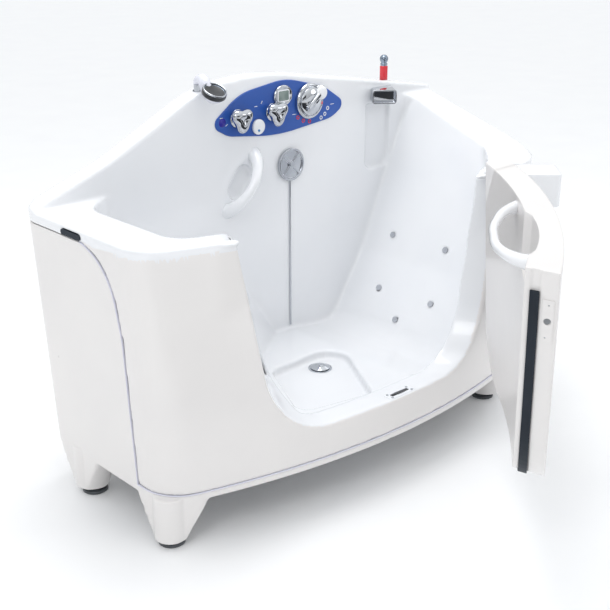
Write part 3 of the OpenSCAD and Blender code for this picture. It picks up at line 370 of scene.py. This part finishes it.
# finish: two tones, least and most roughness, metal, coat, scale and strength of the bump, stretch
finishes = {
    "glossAcrylic": {"tones": ((0.80, 0.815, 0.84), (0.84, 0.85, 0.87)), "rough": (0.13, 0.2),
                     "coat": 0.3, "bump": (260, 0.015)},
    # the apron's darker, warmer tones are painted shade on the upright sides
    "apronShadedAcrylic": {"tones": ((0.755, 0.735, 0.725), (0.785, 0.765, 0.75)), "rough": (0.25, 0.35),
                     "coat": 0.15, "bump": (220, 0.02)},
    "lilacTrim": {"tones": ((0.70, 0.70, 0.80), (0.76, 0.76, 0.85)), "rough": (0.4, 0.5),
                  "bump": (500, 0.05)},
    "sealRubber": {"tones": ((0.002, 0.008, 0.018), (0.005, 0.014, 0.028)), "rough": (0.55, 0.7),
                   "bump": (900, 0.12)},
    "polishedChrome": {"tones": ((0.50, 0.52, 0.56), (0.62, 0.64, 0.67)), "rough": (0.03, 0.08),
                       "metal": 1.0, "bump": (180, 0.01)},
    # chrome darkened to stand in for dark reflections: painted reflection
    "darkReflectionChrome": {"tones": ((0.22, 0.27, 0.34), (0.36, 0.41, 0.48)), "rough": (0.08, 0.18),
                   "metal": 1.0, "bump": (180, 0.01)},
    "satinLilac": {"tones": ((0.70, 0.71, 0.80), (0.80, 0.81, 0.87)), "rough": (0.18, 0.28),
                   "coat": 0.4, "bump": (300, 0.01)},
    "brushedSteel": {"tones": ((0.42, 0.44, 0.46), (0.60, 0.62, 0.64)), "rough": (0.24, 0.42),
                     "metal": 1.0, "bump": (120, 0.05), "stretch": (1, 14, 1)},
    "padRubber": {"tones": ((0.03, 0.035, 0.04), (0.08, 0.09, 0.1)), "rough": (0.3, 0.5),
                  "coat": 0.2, "bump": (300, 0.1)},
    "castBrass": {"tones": ((0.50, 0.36, 0.16), (0.64, 0.48, 0.24)), "rough": (0.3, 0.45),
                  "metal": 1.0, "bump": (400, 0.1)},
    "copperTube": {"tones": ((0.56, 0.27, 0.15), (0.70, 0.38, 0.22)), "rough": (0.25, 0.4),
                   "metal": 1.0, "bump": (200, 0.05), "stretch": (1, 1, 6)},
    "pipePlastic": {"tones": ((0.66, 0.66, 0.65), (0.72, 0.72, 0.71)), "rough": (0.4, 0.55),
                    "bump": (350, 0.05)},
    "pumpPaint": {"tones": ((0.05, 0.06, 0.07), (0.09, 0.10, 0.12)), "rough": (0.4, 0.55),
                  "coat": 0.1, "bump": (300, 0.08)},
    "blackPlastic": {"tones": ((0.010, 0.012, 0.015), (0.022, 0.024, 0.028)), "rough": (0.3, 0.45),
                     "coat": 0.1, "bump": (500, 0.05)},
    "redPlastic": {"tones": ((0.62, 0.02, 0.035), (0.72, 0.04, 0.05)), "rough": (0.22, 0.32),
                   "coat": 0.4, "bump": (400, 0.03)},
    "bluePanel": {"tones": ((0.018, 0.082, 0.36), (0.026, 0.10, 0.42)), "rough": (0.34, 0.42),
                  "coat": 0.08, "bump": (300, 0.01)},
    "violetLight": {"tones": ((0.022, 0.018, 0.26), (0.035, 0.03, 0.34)), "rough": (0.2, 0.28),
                    "coat": 0.3, "bump": (300, 0.01)},
    "whitePrint": {"tones": ((0.80, 0.82, 0.86), (0.88, 0.89, 0.92)), "rough": (0.25, 0.35),
                   "coat": 0.3, "bump": (300, 0.01)},
    "buttonBlue": {"tones": ((0.02, 0.18, 0.42), (0.04, 0.26, 0.55)), "rough": (0.2, 0.3),
                   "coat": 0.4, "bump": (300, 0.02)},
    "lensGrey": {"tones": ((0.16, 0.21, 0.20), (0.24, 0.30, 0.28)), "rough": (0.08, 0.14),
                 "coat": 0.8, "bump": (300, 0.0)},
    "paleFloor": {"tones": ((0.92, 0.925, 0.935), (0.94, 0.945, 0.95)), "rough": (0.5, 0.6),
                  "bump": (40, 0.01)},
}
grain = {
    "toneScale": 3.5, "toneStops": (0.3, 0.7),
    "smudgeScale": 22.0, "smudgeDetail": 5.0,
    "bumpDetail": 2.0, "bumpHeight": 0.0006,
    "coatRoughness": 0.06,
}


def makeFinish(name, own, g):
    f = {**plainFinish, **own}
    material, tree, shader = newMaterial(name)
    stops = [(stop, (*tone, 1.0)) for stop, tone in zip(g["toneStops"], f["tones"])]
    tones = rampOf(tree, noiseOf(tree, g["toneScale"]), stops)
    tree.links.new(tones, shader.inputs["Base Color"])
    smudge = noiseOf(tree, g["smudgeScale"], g["smudgeDetail"], f["stretch"])
    tree.links.new(rangeOf(tree, smudge, *f["rough"]), shader.inputs["Roughness"])
    shader.inputs["Metallic"].default_value = f["metal"]
    shader.inputs["Coat Weight"].default_value = f["coat"]
    shader.inputs["Coat Roughness"].default_value = g["coatRoughness"]
    scale, strength = f["bump"]
    if strength > 0:
        bumps = noiseOf(tree, scale, g["bumpDetail"], f["stretch"])
        bumpOf(tree, shader, bumps, strength, g["bumpHeight"])
    return material


materials = {name: makeFinish(name, own, grain) for name, own in finishes.items()}
print("materials made:", len(materials))

for makePart in (makeCamera, makeLamps, makeSky, makeFloor, makeCards):
    makePart(studio)
print("studio made")

# ---- finishes of the CAD nodes ----

nodeFinish = {
    "glossAcrylic": ["bath_moulding", "door_liner", "door_grab_handle", "wall_grab_handle",
                     "hinge_housing", "keypad", "safety_button"],
    # the sides' darker tone is painted shade
    "apronShadedAcrylic": ["outer_shell", "chassis_shell", "door_skin", "latch_faceplate"],
    "whitePrint": ["sill_plate"],
    "lilacTrim": ["seam_piping"],
    "sealRubber": ["door_gasket", "rim_slot_insert"],
    "polishedChrome": ["flow_knob", "divert_knob", "temperature_dial", "spout", "shower_holder",
                       "hand_shower", "vent_post", "overflow_disc", "level_tube", "drain_plug",
                       "drain_body", "jets", "hinge_pins", "latch_lever", "display_bezel"],
    "brushedSteel": ["support_frame", "locknuts", "sill_screws", "latch_keeper", "hinge_brackets",
                     "door_frame", "lower_hinge_arm", "faceplate_screws", "latch_case", "side_bolt",
                     "bottom_bolt"],
    "padRubber": ["levelling_pads"],
    "castBrass": ["mixer_valve"],
    "copperTube": ["supply_tails", "spout_feed"],
    "pipePlastic": ["overflow_pipe", "waste_trap", "jet_manifold"],
    "pumpPaint": ["jet_pump"],
    "blackPlastic": ["spout_mouth", "shower_face"],
    "redPlastic": ["vent_cap"],
    "bluePanel": ["control_panel"],
    "buttonBlue": ["keypad_button"],
    "lensGrey": ["display_lens"],
}
finishOf = {name: finish for finish, names in nodeFinish.items() for name in names}


def wear(piece, finish):
    piece.data.materials.clear()
    piece.data.materials.append(materials[finish])


for name, finish in finishOf.items():
    wear(nodes[name], finish)


def stand(piece, *names, finish=None):
    # the piece rides and finishes as the first node does, and hides them all
    wear(piece, finish or finishOf[names[0]])
    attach(piece, bodyOf[names[0]])
    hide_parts(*names)


def alsoRides(piece, body, finish):
    # an extra piece that replaces no node
    wear(piece, finish)
    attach(piece, body)


# ---- mouldings ----

# piece: nodes, voxel in metres, easing passes, most triangles
mouldings = {
    "bathAndApron": (("bath_moulding", "outer_shell"), 0.0052, 9, 190000),
    "chassisMoulding": (("chassis_shell",), 0.0028, 8, 120000),
    "doorMoulding": (("door_skin", "door_liner"), 0.0025, 7, 120000),
    "hingeHousing": (("hinge_housing",), 0.003, 4, 30000),
    "hingeBrackets": (("hinge_brackets",), 0.0016, 2, 30000),
    "lowerHingeArm": (("lower_hinge_arm",), 0.0018, 2, 26000),
    "latchLever": (("latch_lever",), 0.0014, 3, 26000),
    "overflowDisc": (("overflow_disc",), 0.0011, 2, 50000),
    "drainPlug": (("drain_plug",), 0.0009, 3, 26000),
    "levellingPads": (("levelling_pads",), 0.0015, 3, 60000),
}
legSkirt = {
    # radius and height of the tapered leg
    "profile": ((0.0, 0.022), (0.046, 0.022), (0.054, 0.040), (0.065, 0.062), (0.078, 0.085),
                (0.091, 0.108), (0.102, 0.128), (0.110, 0.142), (0.115, 0.153), (0.0, 0.153)),
    "steps": 64,
    "fromCorner": 0.03,    # from the corner of the pads' box to the leg's middle
    "inset": 0.0015, "least": 0.045, "beltHeight": 0.150, "farOff": 0.6,
}


def legReach(tree, centre, out, radius, c):
    # how far the leg may go in this direction: up to the belt's outer face, less the inset
    start = centre + out * c["farOff"] + Vector((0, 0, c["beltHeight"]))
    hit = tree.ray_cast(start, -out)
    if hit[0] is None:
        return radius
    return min(radius, max((hit[0] - centre).xy.length - c["inset"], c["least"]))


def addLegSkirts(bm, c):
    tree = BVHTree.FromBMesh(bm)
    low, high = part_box("levelling_pads")
    for x in (low.x + c["fromCorner"], high.x - c["fromCorner"]):
        for y in (low.y + c["fromCorner"], high.y - c["fromCorner"]):
            centre = Vector((x, y, 0))
            skirt = spun(c["profile"], c["steps"])
            for vert in skirt.verts:
                flat = Vector((vert.co.x, vert.co.y, 0))
                if flat.length < newWeld:
                    continue
                out = flat.normalized()
                vert.co.x, vert.co.y = out.xy * legReach(tree, centre, out, flat.length, c)
            skirt.transform(Matrix.Translation(centre))
            mesh = bpy.data.meshes.new("skirt")
            skirt.to_mesh(mesh)
            skirt.free()
            bm.from_mesh(mesh)
            bpy.data.meshes.remove(mesh)


# they narrow the small gap in the rim's roll at each side of the doorway
jambPlugs = {"places": ((0.158, -0.093, 0.8425), (1.154, -0.094, 0.8425)), "size": (0.028, 0.018, 0.0075)}


def addJambPlugs(bm, c):
    for place in c["places"]:
        turn = Matrix.Translation(place) @ Matrix.Diagonal((*c["size"], 1.0))
        bmesh.ops.create_icosphere(bm, subdivisions=3, radius=1.0, matrix=turn)


# the shut door's bow, seen from above, and the angle at which the frame shows the door
doorCurve = {"centre": (0.75, 2.12), "insideRadius": 2.235, "openAngle": 45}
# a span of the shut door, and how much of its hollow's depth is kept there
doorScoop = {"x": 0.47, "half": 0.175, "above": 0.5, "shallow": 0.0015, "deep": 0.042,
             "keep": 0.35, "fadeOver": 0.004}


def swungDoor(point, degrees):
    hinge = jointAt["door"]
    return hinge + Matrix.Rotation(math.radians(degrees), 4, "Z") @ (point - hinge)


def shallowScoop(piece, c):
    # draws the finger scoop's wall towards the door's inside face
    bowCentre = Vector((*doorCurve["centre"], 0.0))
    for vert in piece.data.vertices:
        shut = swungDoor(vert.co, -doorCurve["openAngle"])
        if abs(shut.x - c["x"]) > c["half"] or shut.z < c["above"]:
            continue
        out = (shut - bowCentre).xy
        deep = out.length - doorCurve["insideRadius"]
        if c["shallow"] < deep < c["deep"]:
            fade = min(1.0, (c["deep"] - deep) / c["fadeOver"])
            radius = doorCurve["insideRadius"] + deep * (1.0 - (1.0 - c["keep"]) * fade)
            moved = bowCentre.xy + out.normalized() * radius
            vert.co = swungDoor(Vector((moved.x, moved.y, shut.z)), doorCurve["openAngle"])


additions = {"chassisMoulding": (addLegSkirts, legSkirt), "bathAndApron": (addJambPlugs, jambPlugs)}
made = {}
for name, (sources, voxel, passes, triangles) in mouldings.items():
    solid = mergedCopy(*sources)
    if name in additions:
        addTo, values = additions[name]
        addTo(solid, values)
    made[name] = moulded(name, solid, voxel, passes, triangles)
    stand(made[name], *sources)

# the skins' sides, where a darker, warmer tone is painted as shade: how close a face lies to the node,
# and how far it may lean
sideShade = {"finish": "apronShadedAcrylic", "apronReach": 0.003, "doorReach": 0.002, "lean": 0.6}


def shadeSides(piece, source, reach, c):
    # faces on the source node that stand upright take the darker finish: painted shade on the sides
    surface = mergedCopy(source)
    tree = BVHTree.FromBMesh(surface)
    surface.free()
    piece.data.materials.append(materials[c["finish"]])
    for face in piece.data.polygons:
        near = tree.find_nearest(face.center, reach)
        if near[0] is not None and abs(face.normal.z) < c["lean"]:
            face.material_index = 1


shallowScoop(made["doorMoulding"], doorScoop)
shadeSides(made["bathAndApron"], "outer_shell", sideShade["apronReach"], sideShade)
shadeSides(made["doorMoulding"], "door_skin", sideShade["doorReach"], sideShade)

# ---- control panel ----

controlPanel = {
    "border": 0.0022,
    "flatAngle": 0.02,    # radians between faces that count as one
    "lightOffset": (-0.242, -0.0165),
    "light": ((0.0, 0.0012), (0.0108, 0.001), (0.0135, 0.0)),
    # marks round the dial: radius of the circle, degrees, finish
    "marks": ((0.066, -132, "redPlastic"), (0.066, -108, "redPlastic"), (0.069, -84, "redPlastic"),
              (0.087, -47, "whitePrint"), (0.093, -35, "whitePrint"), (0.096, -22, "whitePrint")),
    "markOuter": 0.0066, "markInner": 0.0038, "printHeight": 0.0008,
    # printed dashes beside the knobs and the dial: offset from the panel's middle, length, degrees
    "dashes": ((-0.246, -0.002, 0.012, 0), (-0.226, -0.026, 0.010, 30), (-0.108, 0.016, 0.012, 0),
               (-0.084, 0.026, 0.010, 60), (0.053, -0.030, 0.016, 0), (0.222, -0.018, 0.016, 0)),
    "dashWidth": 0.0018, "dashCorner": 0.0008,
}


def isBrim(edge, faceY):
    # an edge round the panel's face
    onFace = all(abs(vert.co.y - faceY) < cadWeld for vert in edge.verts)
    return onFace and not edge.is_boundary and any(abs(face.normal.y) < 0.5 for face in edge.link_faces)


def makePanelPlate(c, faceY):
    bm = mergedCopy("control_panel")
    bmesh.ops.dissolve_limit(bm, angle_limit=c["flatAngle"], verts=bm.verts, edges=bm.edges)
    brim = [edge for edge in bm.edges if isBrim(edge, faceY)]
    bmesh.ops.bevel(bm, geom=brim, offset=c["border"], affect="EDGES", segments=2,
                    profile=0.5, material=1)
    panel = meshObject("controlPanel", bm)
    stand(panel, "control_panel")
    panel.data.materials.append(materials["whitePrint"])


def makePanelPrint(c, middle):
    outer, inner, height = c["markOuter"], c["markInner"], c["printHeight"]
    ring = ((outer, 0.0), (outer, height), (inner, height), (inner, 0.0), (outer, 0.0))
    dial = jointAt["temperature_dial"]
    for number, (reach, degrees, finish) in enumerate(c["marks"]):
        angle = math.radians(degrees)
        place = Vector((dial.x + reach * math.cos(angle), middle.y, dial.z + reach * math.sin(angle)))
        mark = turned("dialMark%d" % number, ring, place, steps=32)
        alsoRides(mark, "bath", finish)
    for number, (x, z, length, degrees) in enumerate(c["dashes"]):
        dash = slab("panelDash%d" % number, (length, c["dashWidth"], height), middle + Vector((x, 0, z)),
                    corner=c["dashCorner"], spin=math.radians(degrees))
        alsoRides(dash, "bath", "whitePrint")


def makeControlPanel(c):
    middle = middleOf("control_panel")
    middle.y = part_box("control_panel")[0].y
    makePanelPlate(c, middle.y)
    x, z = c["lightOffset"]
    light = turned("panelLight", c["light"], middle + Vector((x, 0, z)))
    alsoRides(light, "bath", "violetLight")
    makePanelPrint(c, middle)
    print("control panel made")
    return middle


panelMiddle = makeControlPanel(controlPanel)

# ---- knobs, dial and buttons ----

lobedKnob = {
    # radius, height, share of the lobes
    "profile": ((0.0, 0.0, 0), (0.029, 0.0, 0), (0.0295, 0.003, 0), (0.023, 0.0055, 0),
                (0.0225, 0.009, 0.2), (0.030, 0.012, 0.7), (0.035, 0.018, 1), (0.0365, 0.025, 1),
                (0.0345, 0.032, 1), (0.029, 0.038, 1), (0.021, 0.0415, 1), (0.012, 0.0405, 0.7),
                (0.005, 0.0375, 0.2), (0.0, 0.0365, 0)),
    # number of lobes, how far they swell, where the first one points
    "lobes": (3, 0.19, math.radians(30)),
}
for node, name in (("flow_knob", "flowKnob"), ("divert_knob", "divertKnob")):
    knob = turned(name, lobedKnob["profile"], jointAt[node], lobes=lobedKnob["lobes"])
    stand(smoothed(knob), node)
print("knobs made")

dialShape = {
    "profile": ((0.0, 0.0), (0.0565, 0.0), (0.0575, 0.011), (0.0545, 0.0155), (0.050, 0.016),
                (0.0475, 0.012), (0.0455, 0.012), (0.0445, 0.019), (0.038, 0.0235), (0.020, 0.0262),
                (0.0, 0.027)),
    "dialEdge": 0.0012,
    "grip": (0.070, 0.015, 0.034), "gripTurn": math.radians(38), "gripCorner": 0.0072, "gripEdge": 0.003,
    "cup": ((0.0, 0.0), (0.0245, 0.0), (0.0255, 0.012), (0.0255, 0.0195), (0.0235, 0.0205),
            (0.0, 0.0205)),
    "cupEdge": 0.001,
    "buttonOffset": (0.040, 0.023),
    "button": ((0.0, 0.010), (0.0222, 0.010), (0.0222, 0.0245), (0.0195, 0.0285), (0.013, 0.0305),
               (0.0, 0.0315)),
    "buttonEdge": 0.0012,
    "pointer": (0.006, 0.009, 0.0016), "pointerCorner": 0.002, "pointerEdge": 0.0004,
    "pointerPlace": (0.0475, -0.0155, -0.011),    # from the dial's centre
}


def makeDial(d):
    centre = jointAt["temperature_dial"]
    body = rounded(turned("temperatureDial", d["profile"], centre), d["dialEdge"])
    stand(body, "temperature_dial")
    grip = slab("dialGrip", d["grip"], centre, corner=d["gripCorner"], spin=d["gripTurn"])
    alsoRides(rounded(grip, d["gripEdge"], 4), "temperature_dial", "polishedChrome")
    x, z = d["buttonOffset"]
    spot = centre + Vector((x, 0, z))
    cup = rounded(turned("buttonCup", d["cup"], spot), d["cupEdge"])
    alsoRides(cup, "temperature_dial", "polishedChrome")
    button = rounded(turned("safetyButton", d["button"], spot), d["buttonEdge"])
    stand(button, "safety_button")
    tip = centre + Vector(d["pointerPlace"])
    pointer = rounded(slab("dialPointer", d["pointer"], tip, corner=d["pointerCorner"]), d["pointerEdge"])
    alsoRides(pointer, "temperature_dial", "redPlastic")
    print("dial made")


makeDial(dialShape)

displayShape = {
    "bezel": ((0.0, 0.0), (0.0345, 0.0), (0.035, 0.006), (0.033, 0.0088), (0.030, 0.009), (0.027, 0.0072),
              (0.0, 0.0068)),
    "stretch": (1.1, 0.96), "offset": (0.002, -0.004), "bezelEdge": 0.0008,
    "lensDepth": 0.0066,    # from the panel's face to the back of the lens and its frame
    "frame": (0.050, 0.038, 0.0022), "frameCorner": 0.006,
    "lens": (0.043, 0.031, 0.0028), "lensCorner": 0.004, "lensEdge": 0.0005,
    "keypad": ((0.0, 0.0), (0.0237, 0.0), (0.0242, 0.006), (0.0225, 0.0088), (0.018, 0.0098),
               (0.0, 0.0102)),
    "keypadEdge": 0.0008,
    "keypadButton": ((0.0, 0.0), (0.0038, 0.0), (0.0038, 0.0030), (0.003, 0.0036), (0.0, 0.0038)),
    "buttonDepth": 0.0092,
}


def onPanel(name, x=0.0, out=0.0, z=0.0):
    # in front of the panel's face at the node's middle, moved by x and z
    middle = middleOf(name)
    return Vector((middle.x + x, panelMiddle.y - out, middle.z + z))


def makeDisplay(d):
    x, z = d["offset"]
    bezel = turned("displayBezel", d["bezel"], onPanel("display_bezel", x, 0.0, z), stretch=d["stretch"])
    stand(rounded(bezel, d["bezelEdge"]), "display_bezel")
    back = onPanel("display_bezel", x, d["lensDepth"], z)
    border = rounded(slab("lensFrame", d["frame"], back, corner=d["frameCorner"]), d["lensEdge"])
    alsoRides(border, "bath", "whitePrint")
    lens = rounded(slab("displayLens", d["lens"], back, corner=d["lensCorner"]), d["lensEdge"])
    stand(lens, "display_lens")
    pad = rounded(turned("keypadCover", d["keypad"], onPanel("keypad")), d["keypadEdge"])
    stand(pad, "keypad")
    place = onPanel("keypad_button", out=d["buttonDepth"])
    stand(turned("keypadButton", d["keypadButton"], place, steps=32), "keypad_button")
    print("display and keypad made")


makeDisplay(displayShape)

# ---- spout ----

spoutShape = {
    "size": (0.084, 0.048, 0.115), "corner": 0.010, "edge": 0.0015,
    "place": (1.238, 0.400, 1.0085), "facing": (-0.62, -0.785),
    "rim": 0.0055, "mouthDeep": 0.030,
    "mouthShadeStart": 0.002,    # the black painted shade starts this far inside the mouth
    "slack": 0.001,
}


def paintMouthShade(bm, c):
    # the walls and the end of the sunk mouth take the second finish, black painted as the shade inside
    # the mouth
    wide, tall, deep = c["size"]
    for face in bm.faces:
        middle = face.calc_center_median()
        within = (abs(middle.x) < wide / 2 - c["rim"] + c["slack"]
                  and abs(middle.y) < tall / 2 - c["rim"] + c["slack"])
        if within and -c["mouthDeep"] - c["slack"] < middle.z - deep / 2 < -c["mouthShadeStart"]:
            face.material_index = 1


def makeSpout(c):
    # a squared tube that leaves the wall at a slant; its mouth is inset and sunk
    wide, tall, deep = c["size"]
    bm = bmesh.new()
    bmesh.ops.create_cube(bm, size=1.0)
    bm.transform(Matrix.Diagonal((wide, tall, deep, 1.0)))
    bmesh.ops.bevel(bm, geom=longEdges(bm, deep), offset=c["corner"], affect="EDGES", segments=5,
                    profile=0.5, material=-1)
    front = [face for face in bm.faces if face.normal.z > 0.9]
    bmesh.ops.inset_region(bm, faces=front, thickness=c["rim"], use_even_offset=True)
    sunk = bmesh.ops.extrude_face_region(bm, geom=front)
    verts = [item for item in sunk["geom"] if isinstance(item, bmesh.types.BMVert)]
    bmesh.ops.translate(bm, verts=verts, vec=(0, 0, -c["mouthDeep"]))
    bmesh.ops.delete(bm, geom=[face for face in front if face.is_valid], context="FACES")
    paintMouthShade(bm, c)
    bmesh.ops.recalc_face_normals(bm, faces=bm.faces)
    facing = Vector((*c["facing"], 0.0)).normalized()
    side = Vector((0, 0, 1)).cross(facing)
    turn = Matrix((side, Vector((0, 0, 1)), facing)).transposed().to_4x4()
    bm.transform(Matrix.Translation(c["place"]) @ turn @ Matrix.Translation((0, 0, -deep / 2)))
    bmesh.ops.recalc_face_normals(bm, faces=bm.faces)
    spout = rounded(meshObject("spoutBody", bm, smooth=True), c["edge"])
    stand(spout, "spout", "spout_mouth")
    # black for the sunk mouth: painted shade
    spout.data.materials.append(materials["blackPlastic"])
    print("spout made")


makeSpout(spoutShape)

# ---- painted shade of the slot in the sill plate ----

sillSlot = {"size": (0.072, 0.012, 0.0008), "corner": 0.003, "lift": 0.0001}


def makeSillSlotShade(c):
    place = middleOf("sill_plate")
    place.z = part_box("sill_plate")[1].z + c["lift"]
    # a flat black sheet on the plate, painted where the slot's shade falls
    line = slab("sillSlotShade", c["size"], place, axis=(0, 0, 1), corner=c["corner"])
    alsoRides(line, "bath", "blackPlastic")
    print("sill slot made")


makeSillSlotShade(sillSlot)

# ---- upright with the red sleeve ----

ventShape = {
    "post": ((0.0, 0.0), (0.0105, 0.0), (0.0105, 0.052), (0.0128, 0.053), (0.0128, 0.0565),
             (0.010, 0.0575), (0.0102, 0.0605), (0.0138, 0.0655), (0.0152, 0.0725), (0.0138, 0.0795),
             (0.008, 0.0855), (0.0, 0.087)),
    "sleeve": ((0.0, 0.001), (0.0138, 0.001), (0.0138, 0.0475), (0.0108, 0.0495), (0.0, 0.0495)),
    "sleeveEdge": 0.001,
    "sunk": 0.010,    # how far the post starts below the sleeve's node
}


def makeVent(c):
    foot = middleOf("vent_cap")
    foot.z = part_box("vent_cap")[0].z - c["sunk"]
    post = smoothed(turned("ventPost", c["post"], foot, axis=(0, 0, 1)))
    # the post's darker chrome is painted dark reflection
    stand(post, "vent_post", finish="darkReflectionChrome")
    sleeve = rounded(turned("ventSleeve", c["sleeve"], foot, axis=(0, 0, 1)), c["sleeveEdge"])
    stand(sleeve, "vent_cap")
    print("vent made")


makeVent(ventShape)

# ---- hand shower ----

showerShape = {
    "tilt": 27, "lowered": 0.004,    # degrees from face up, and how far below the node's middle
    # parts of the head along its axis, from the neck up to the brim
    "shell": ((0.0, -0.034), (0.017, -0.034), (0.026, -0.026), (0.0335, -0.017), (0.0345, -0.012),
              (0.0, -0.012)),
    "ring": ((0.0, -0.015), (0.0352, -0.015), (0.0372, -0.012), (0.0376, 0.0), (0.0345, 0.0035),
             (0.0330, 0.0035), (0.0318, 0.0), (0.0, -0.004)),
    "brim": ((0.0372, 0.0005), (0.0366, 0.0042), (0.0346, 0.0052), (0.0328, 0.0042), (0.0325, 0.0005),
             (0.0372, 0.0005)),
    "dish": ((0.0, -0.0095), (0.012, -0.009), (0.023, -0.0055), (0.030, -0.0008), (0.033, 0.002),
             (0.033, -0.006), (0.0, -0.012)),
    "shellEdge": 0.001, "brimEdge": 0.0004,
    "stemRise": 0.018,    # from the holder's top to the stem's
    # the neck at the stem: backwards and upwards from the stem's top
    "elbow": ((0.0, -0.032), (0.002, -0.012), (-0.016, -0.0035)),
    # the neck at the head: backwards from the head's centre and along its axis
    "nape": ((0.050, -0.007), (0.026, -0.024)),
    "neckRadii": (0.0115, 0.0165, 0.0185, 0.0185, 0.018),
    "stem": ((0.0, 0.0), (0.0095, 0.0), (0.0095, 0.062), (0.0, 0.062)),
    "stemFoot": 0.066, "stemSteps": 48,
}


def makeShowerHead(c, centre, axis):
    shell = rounded(turned("showerShell", c["shell"], centre, axis=axis), c["shellEdge"])
    alsoRides(shell, "hand_shower", "satinLilac")
    ring = rounded(turned("showerRing", c["ring"], centre, axis=axis), c["shellEdge"])
    stand(ring, "shower_face")
    brim = rounded(turned("showerBrim", c["brim"], centre, axis=axis), c["brimEdge"])
    alsoRides(brim, "hand_shower", "polishedChrome")
    dish = turned("showerDish", c["dish"], centre, axis=axis)
    # the dish's darker chrome is painted dark reflection
    alsoRides(dish, "hand_shower", "darkReflectionChrome")


def makeHandShower(c):
    centre = middleOf("shower_face")
    centre.z -= c["lowered"]
    angle = math.radians(c["tilt"])
    axis = Vector((0.0, -math.sin(angle), math.cos(angle)))
    back = Vector((0, math.cos(angle), math.sin(angle)))
    stemTop = middleOf("shower_holder")
    stemTop.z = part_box("shower_holder")[1].z + c["stemRise"]
    makeShowerHead(c, centre, axis)
    points = [stemTop + Vector((0, backwards, up)) for backwards, up in c["elbow"]]
    points += [centre + back * backwards + axis * along for backwards, along in c["nape"]]
    neck = bentBar("showerNeck", points, c["neckRadii"])
    stand(neck, "hand_shower", finish="satinLilac")
    foot = stemTop - Vector((0, 0, c["stemFoot"]))
    stem = turned("showerStem", c["stem"], foot, axis=(0, 0, 1), steps=c["stemSteps"])
    alsoRides(stem, "hand_shower", "satinLilac")
    print("hand shower made")


makeHandShower(showerShape)

# ---- grab handles ----

doorHandle = {
    # along the door from the latch side, share of the reach, radius
    "stations": ((0.305, -0.25, 0.024), (0.345, 0.35, 0.0165), (0.42, 0.83, 0.0125), (0.535, 1.0, 0.0115),
                 (0.66, 0.86, 0.0118), (0.765, 0.42, 0.0145), (0.825, -0.25, 0.023)),
    "reach": 0.098, "height": 0.868,
}
wallHandle = {
    # both ends on the splash wall as x and z, the wall's face, and how far the bar stands off
    "ends": ((0.592, 0.716), (0.712, 0.892)), "wallY": 0.46, "reach": 0.058,
    # share of the way up, share of the reach, radius
    "stations": ((0.0, -0.35, 0.026), (0.10, 0.30, 0.0205), (0.28, 0.80, 0.0165), (0.5, 1.0, 0.0155),
                 (0.72, 0.82, 0.0165), (0.90, 0.32, 0.0205), (1.0, -0.35, 0.026)),
}


def makeDoorHandle(c):
    # the stations lie on the closed door's curve and are turned open with it
    centreX, centreY = doorCurve["centre"]
    points = []
    for x, share, radius in c["stations"]:
        y = centreY - math.sqrt(doorCurve["insideRadius"] ** 2 - (x - centreX) ** 2) + share * c["reach"]
        points.append(swungDoor(Vector((x, y, c["height"])), doorCurve["openAngle"]))
    handle = bentBar("doorGrabHandle", points, [station[2] for station in c["stations"]])
    stand(handle, "door_grab_handle")
    print("door handle made")


def makeWallHandle(c):
    (x0, z0), (x1, z1) = c["ends"]
    points = []
    for share, out, radius in c["stations"]:
        y = c["wallY"] - out * c["reach"]
        points.append(Vector((x0 + (x1 - x0) * share, y, z0 + (z1 - z0) * share)))
    handle = bentBar("wallGrabHandle", points, [station[2] for station in c["stations"]])
    stand(handle, "wall_grab_handle")
    print("wall handle made")


makeDoorHandle(doorHandle)
makeWallHandle(wallHandle)
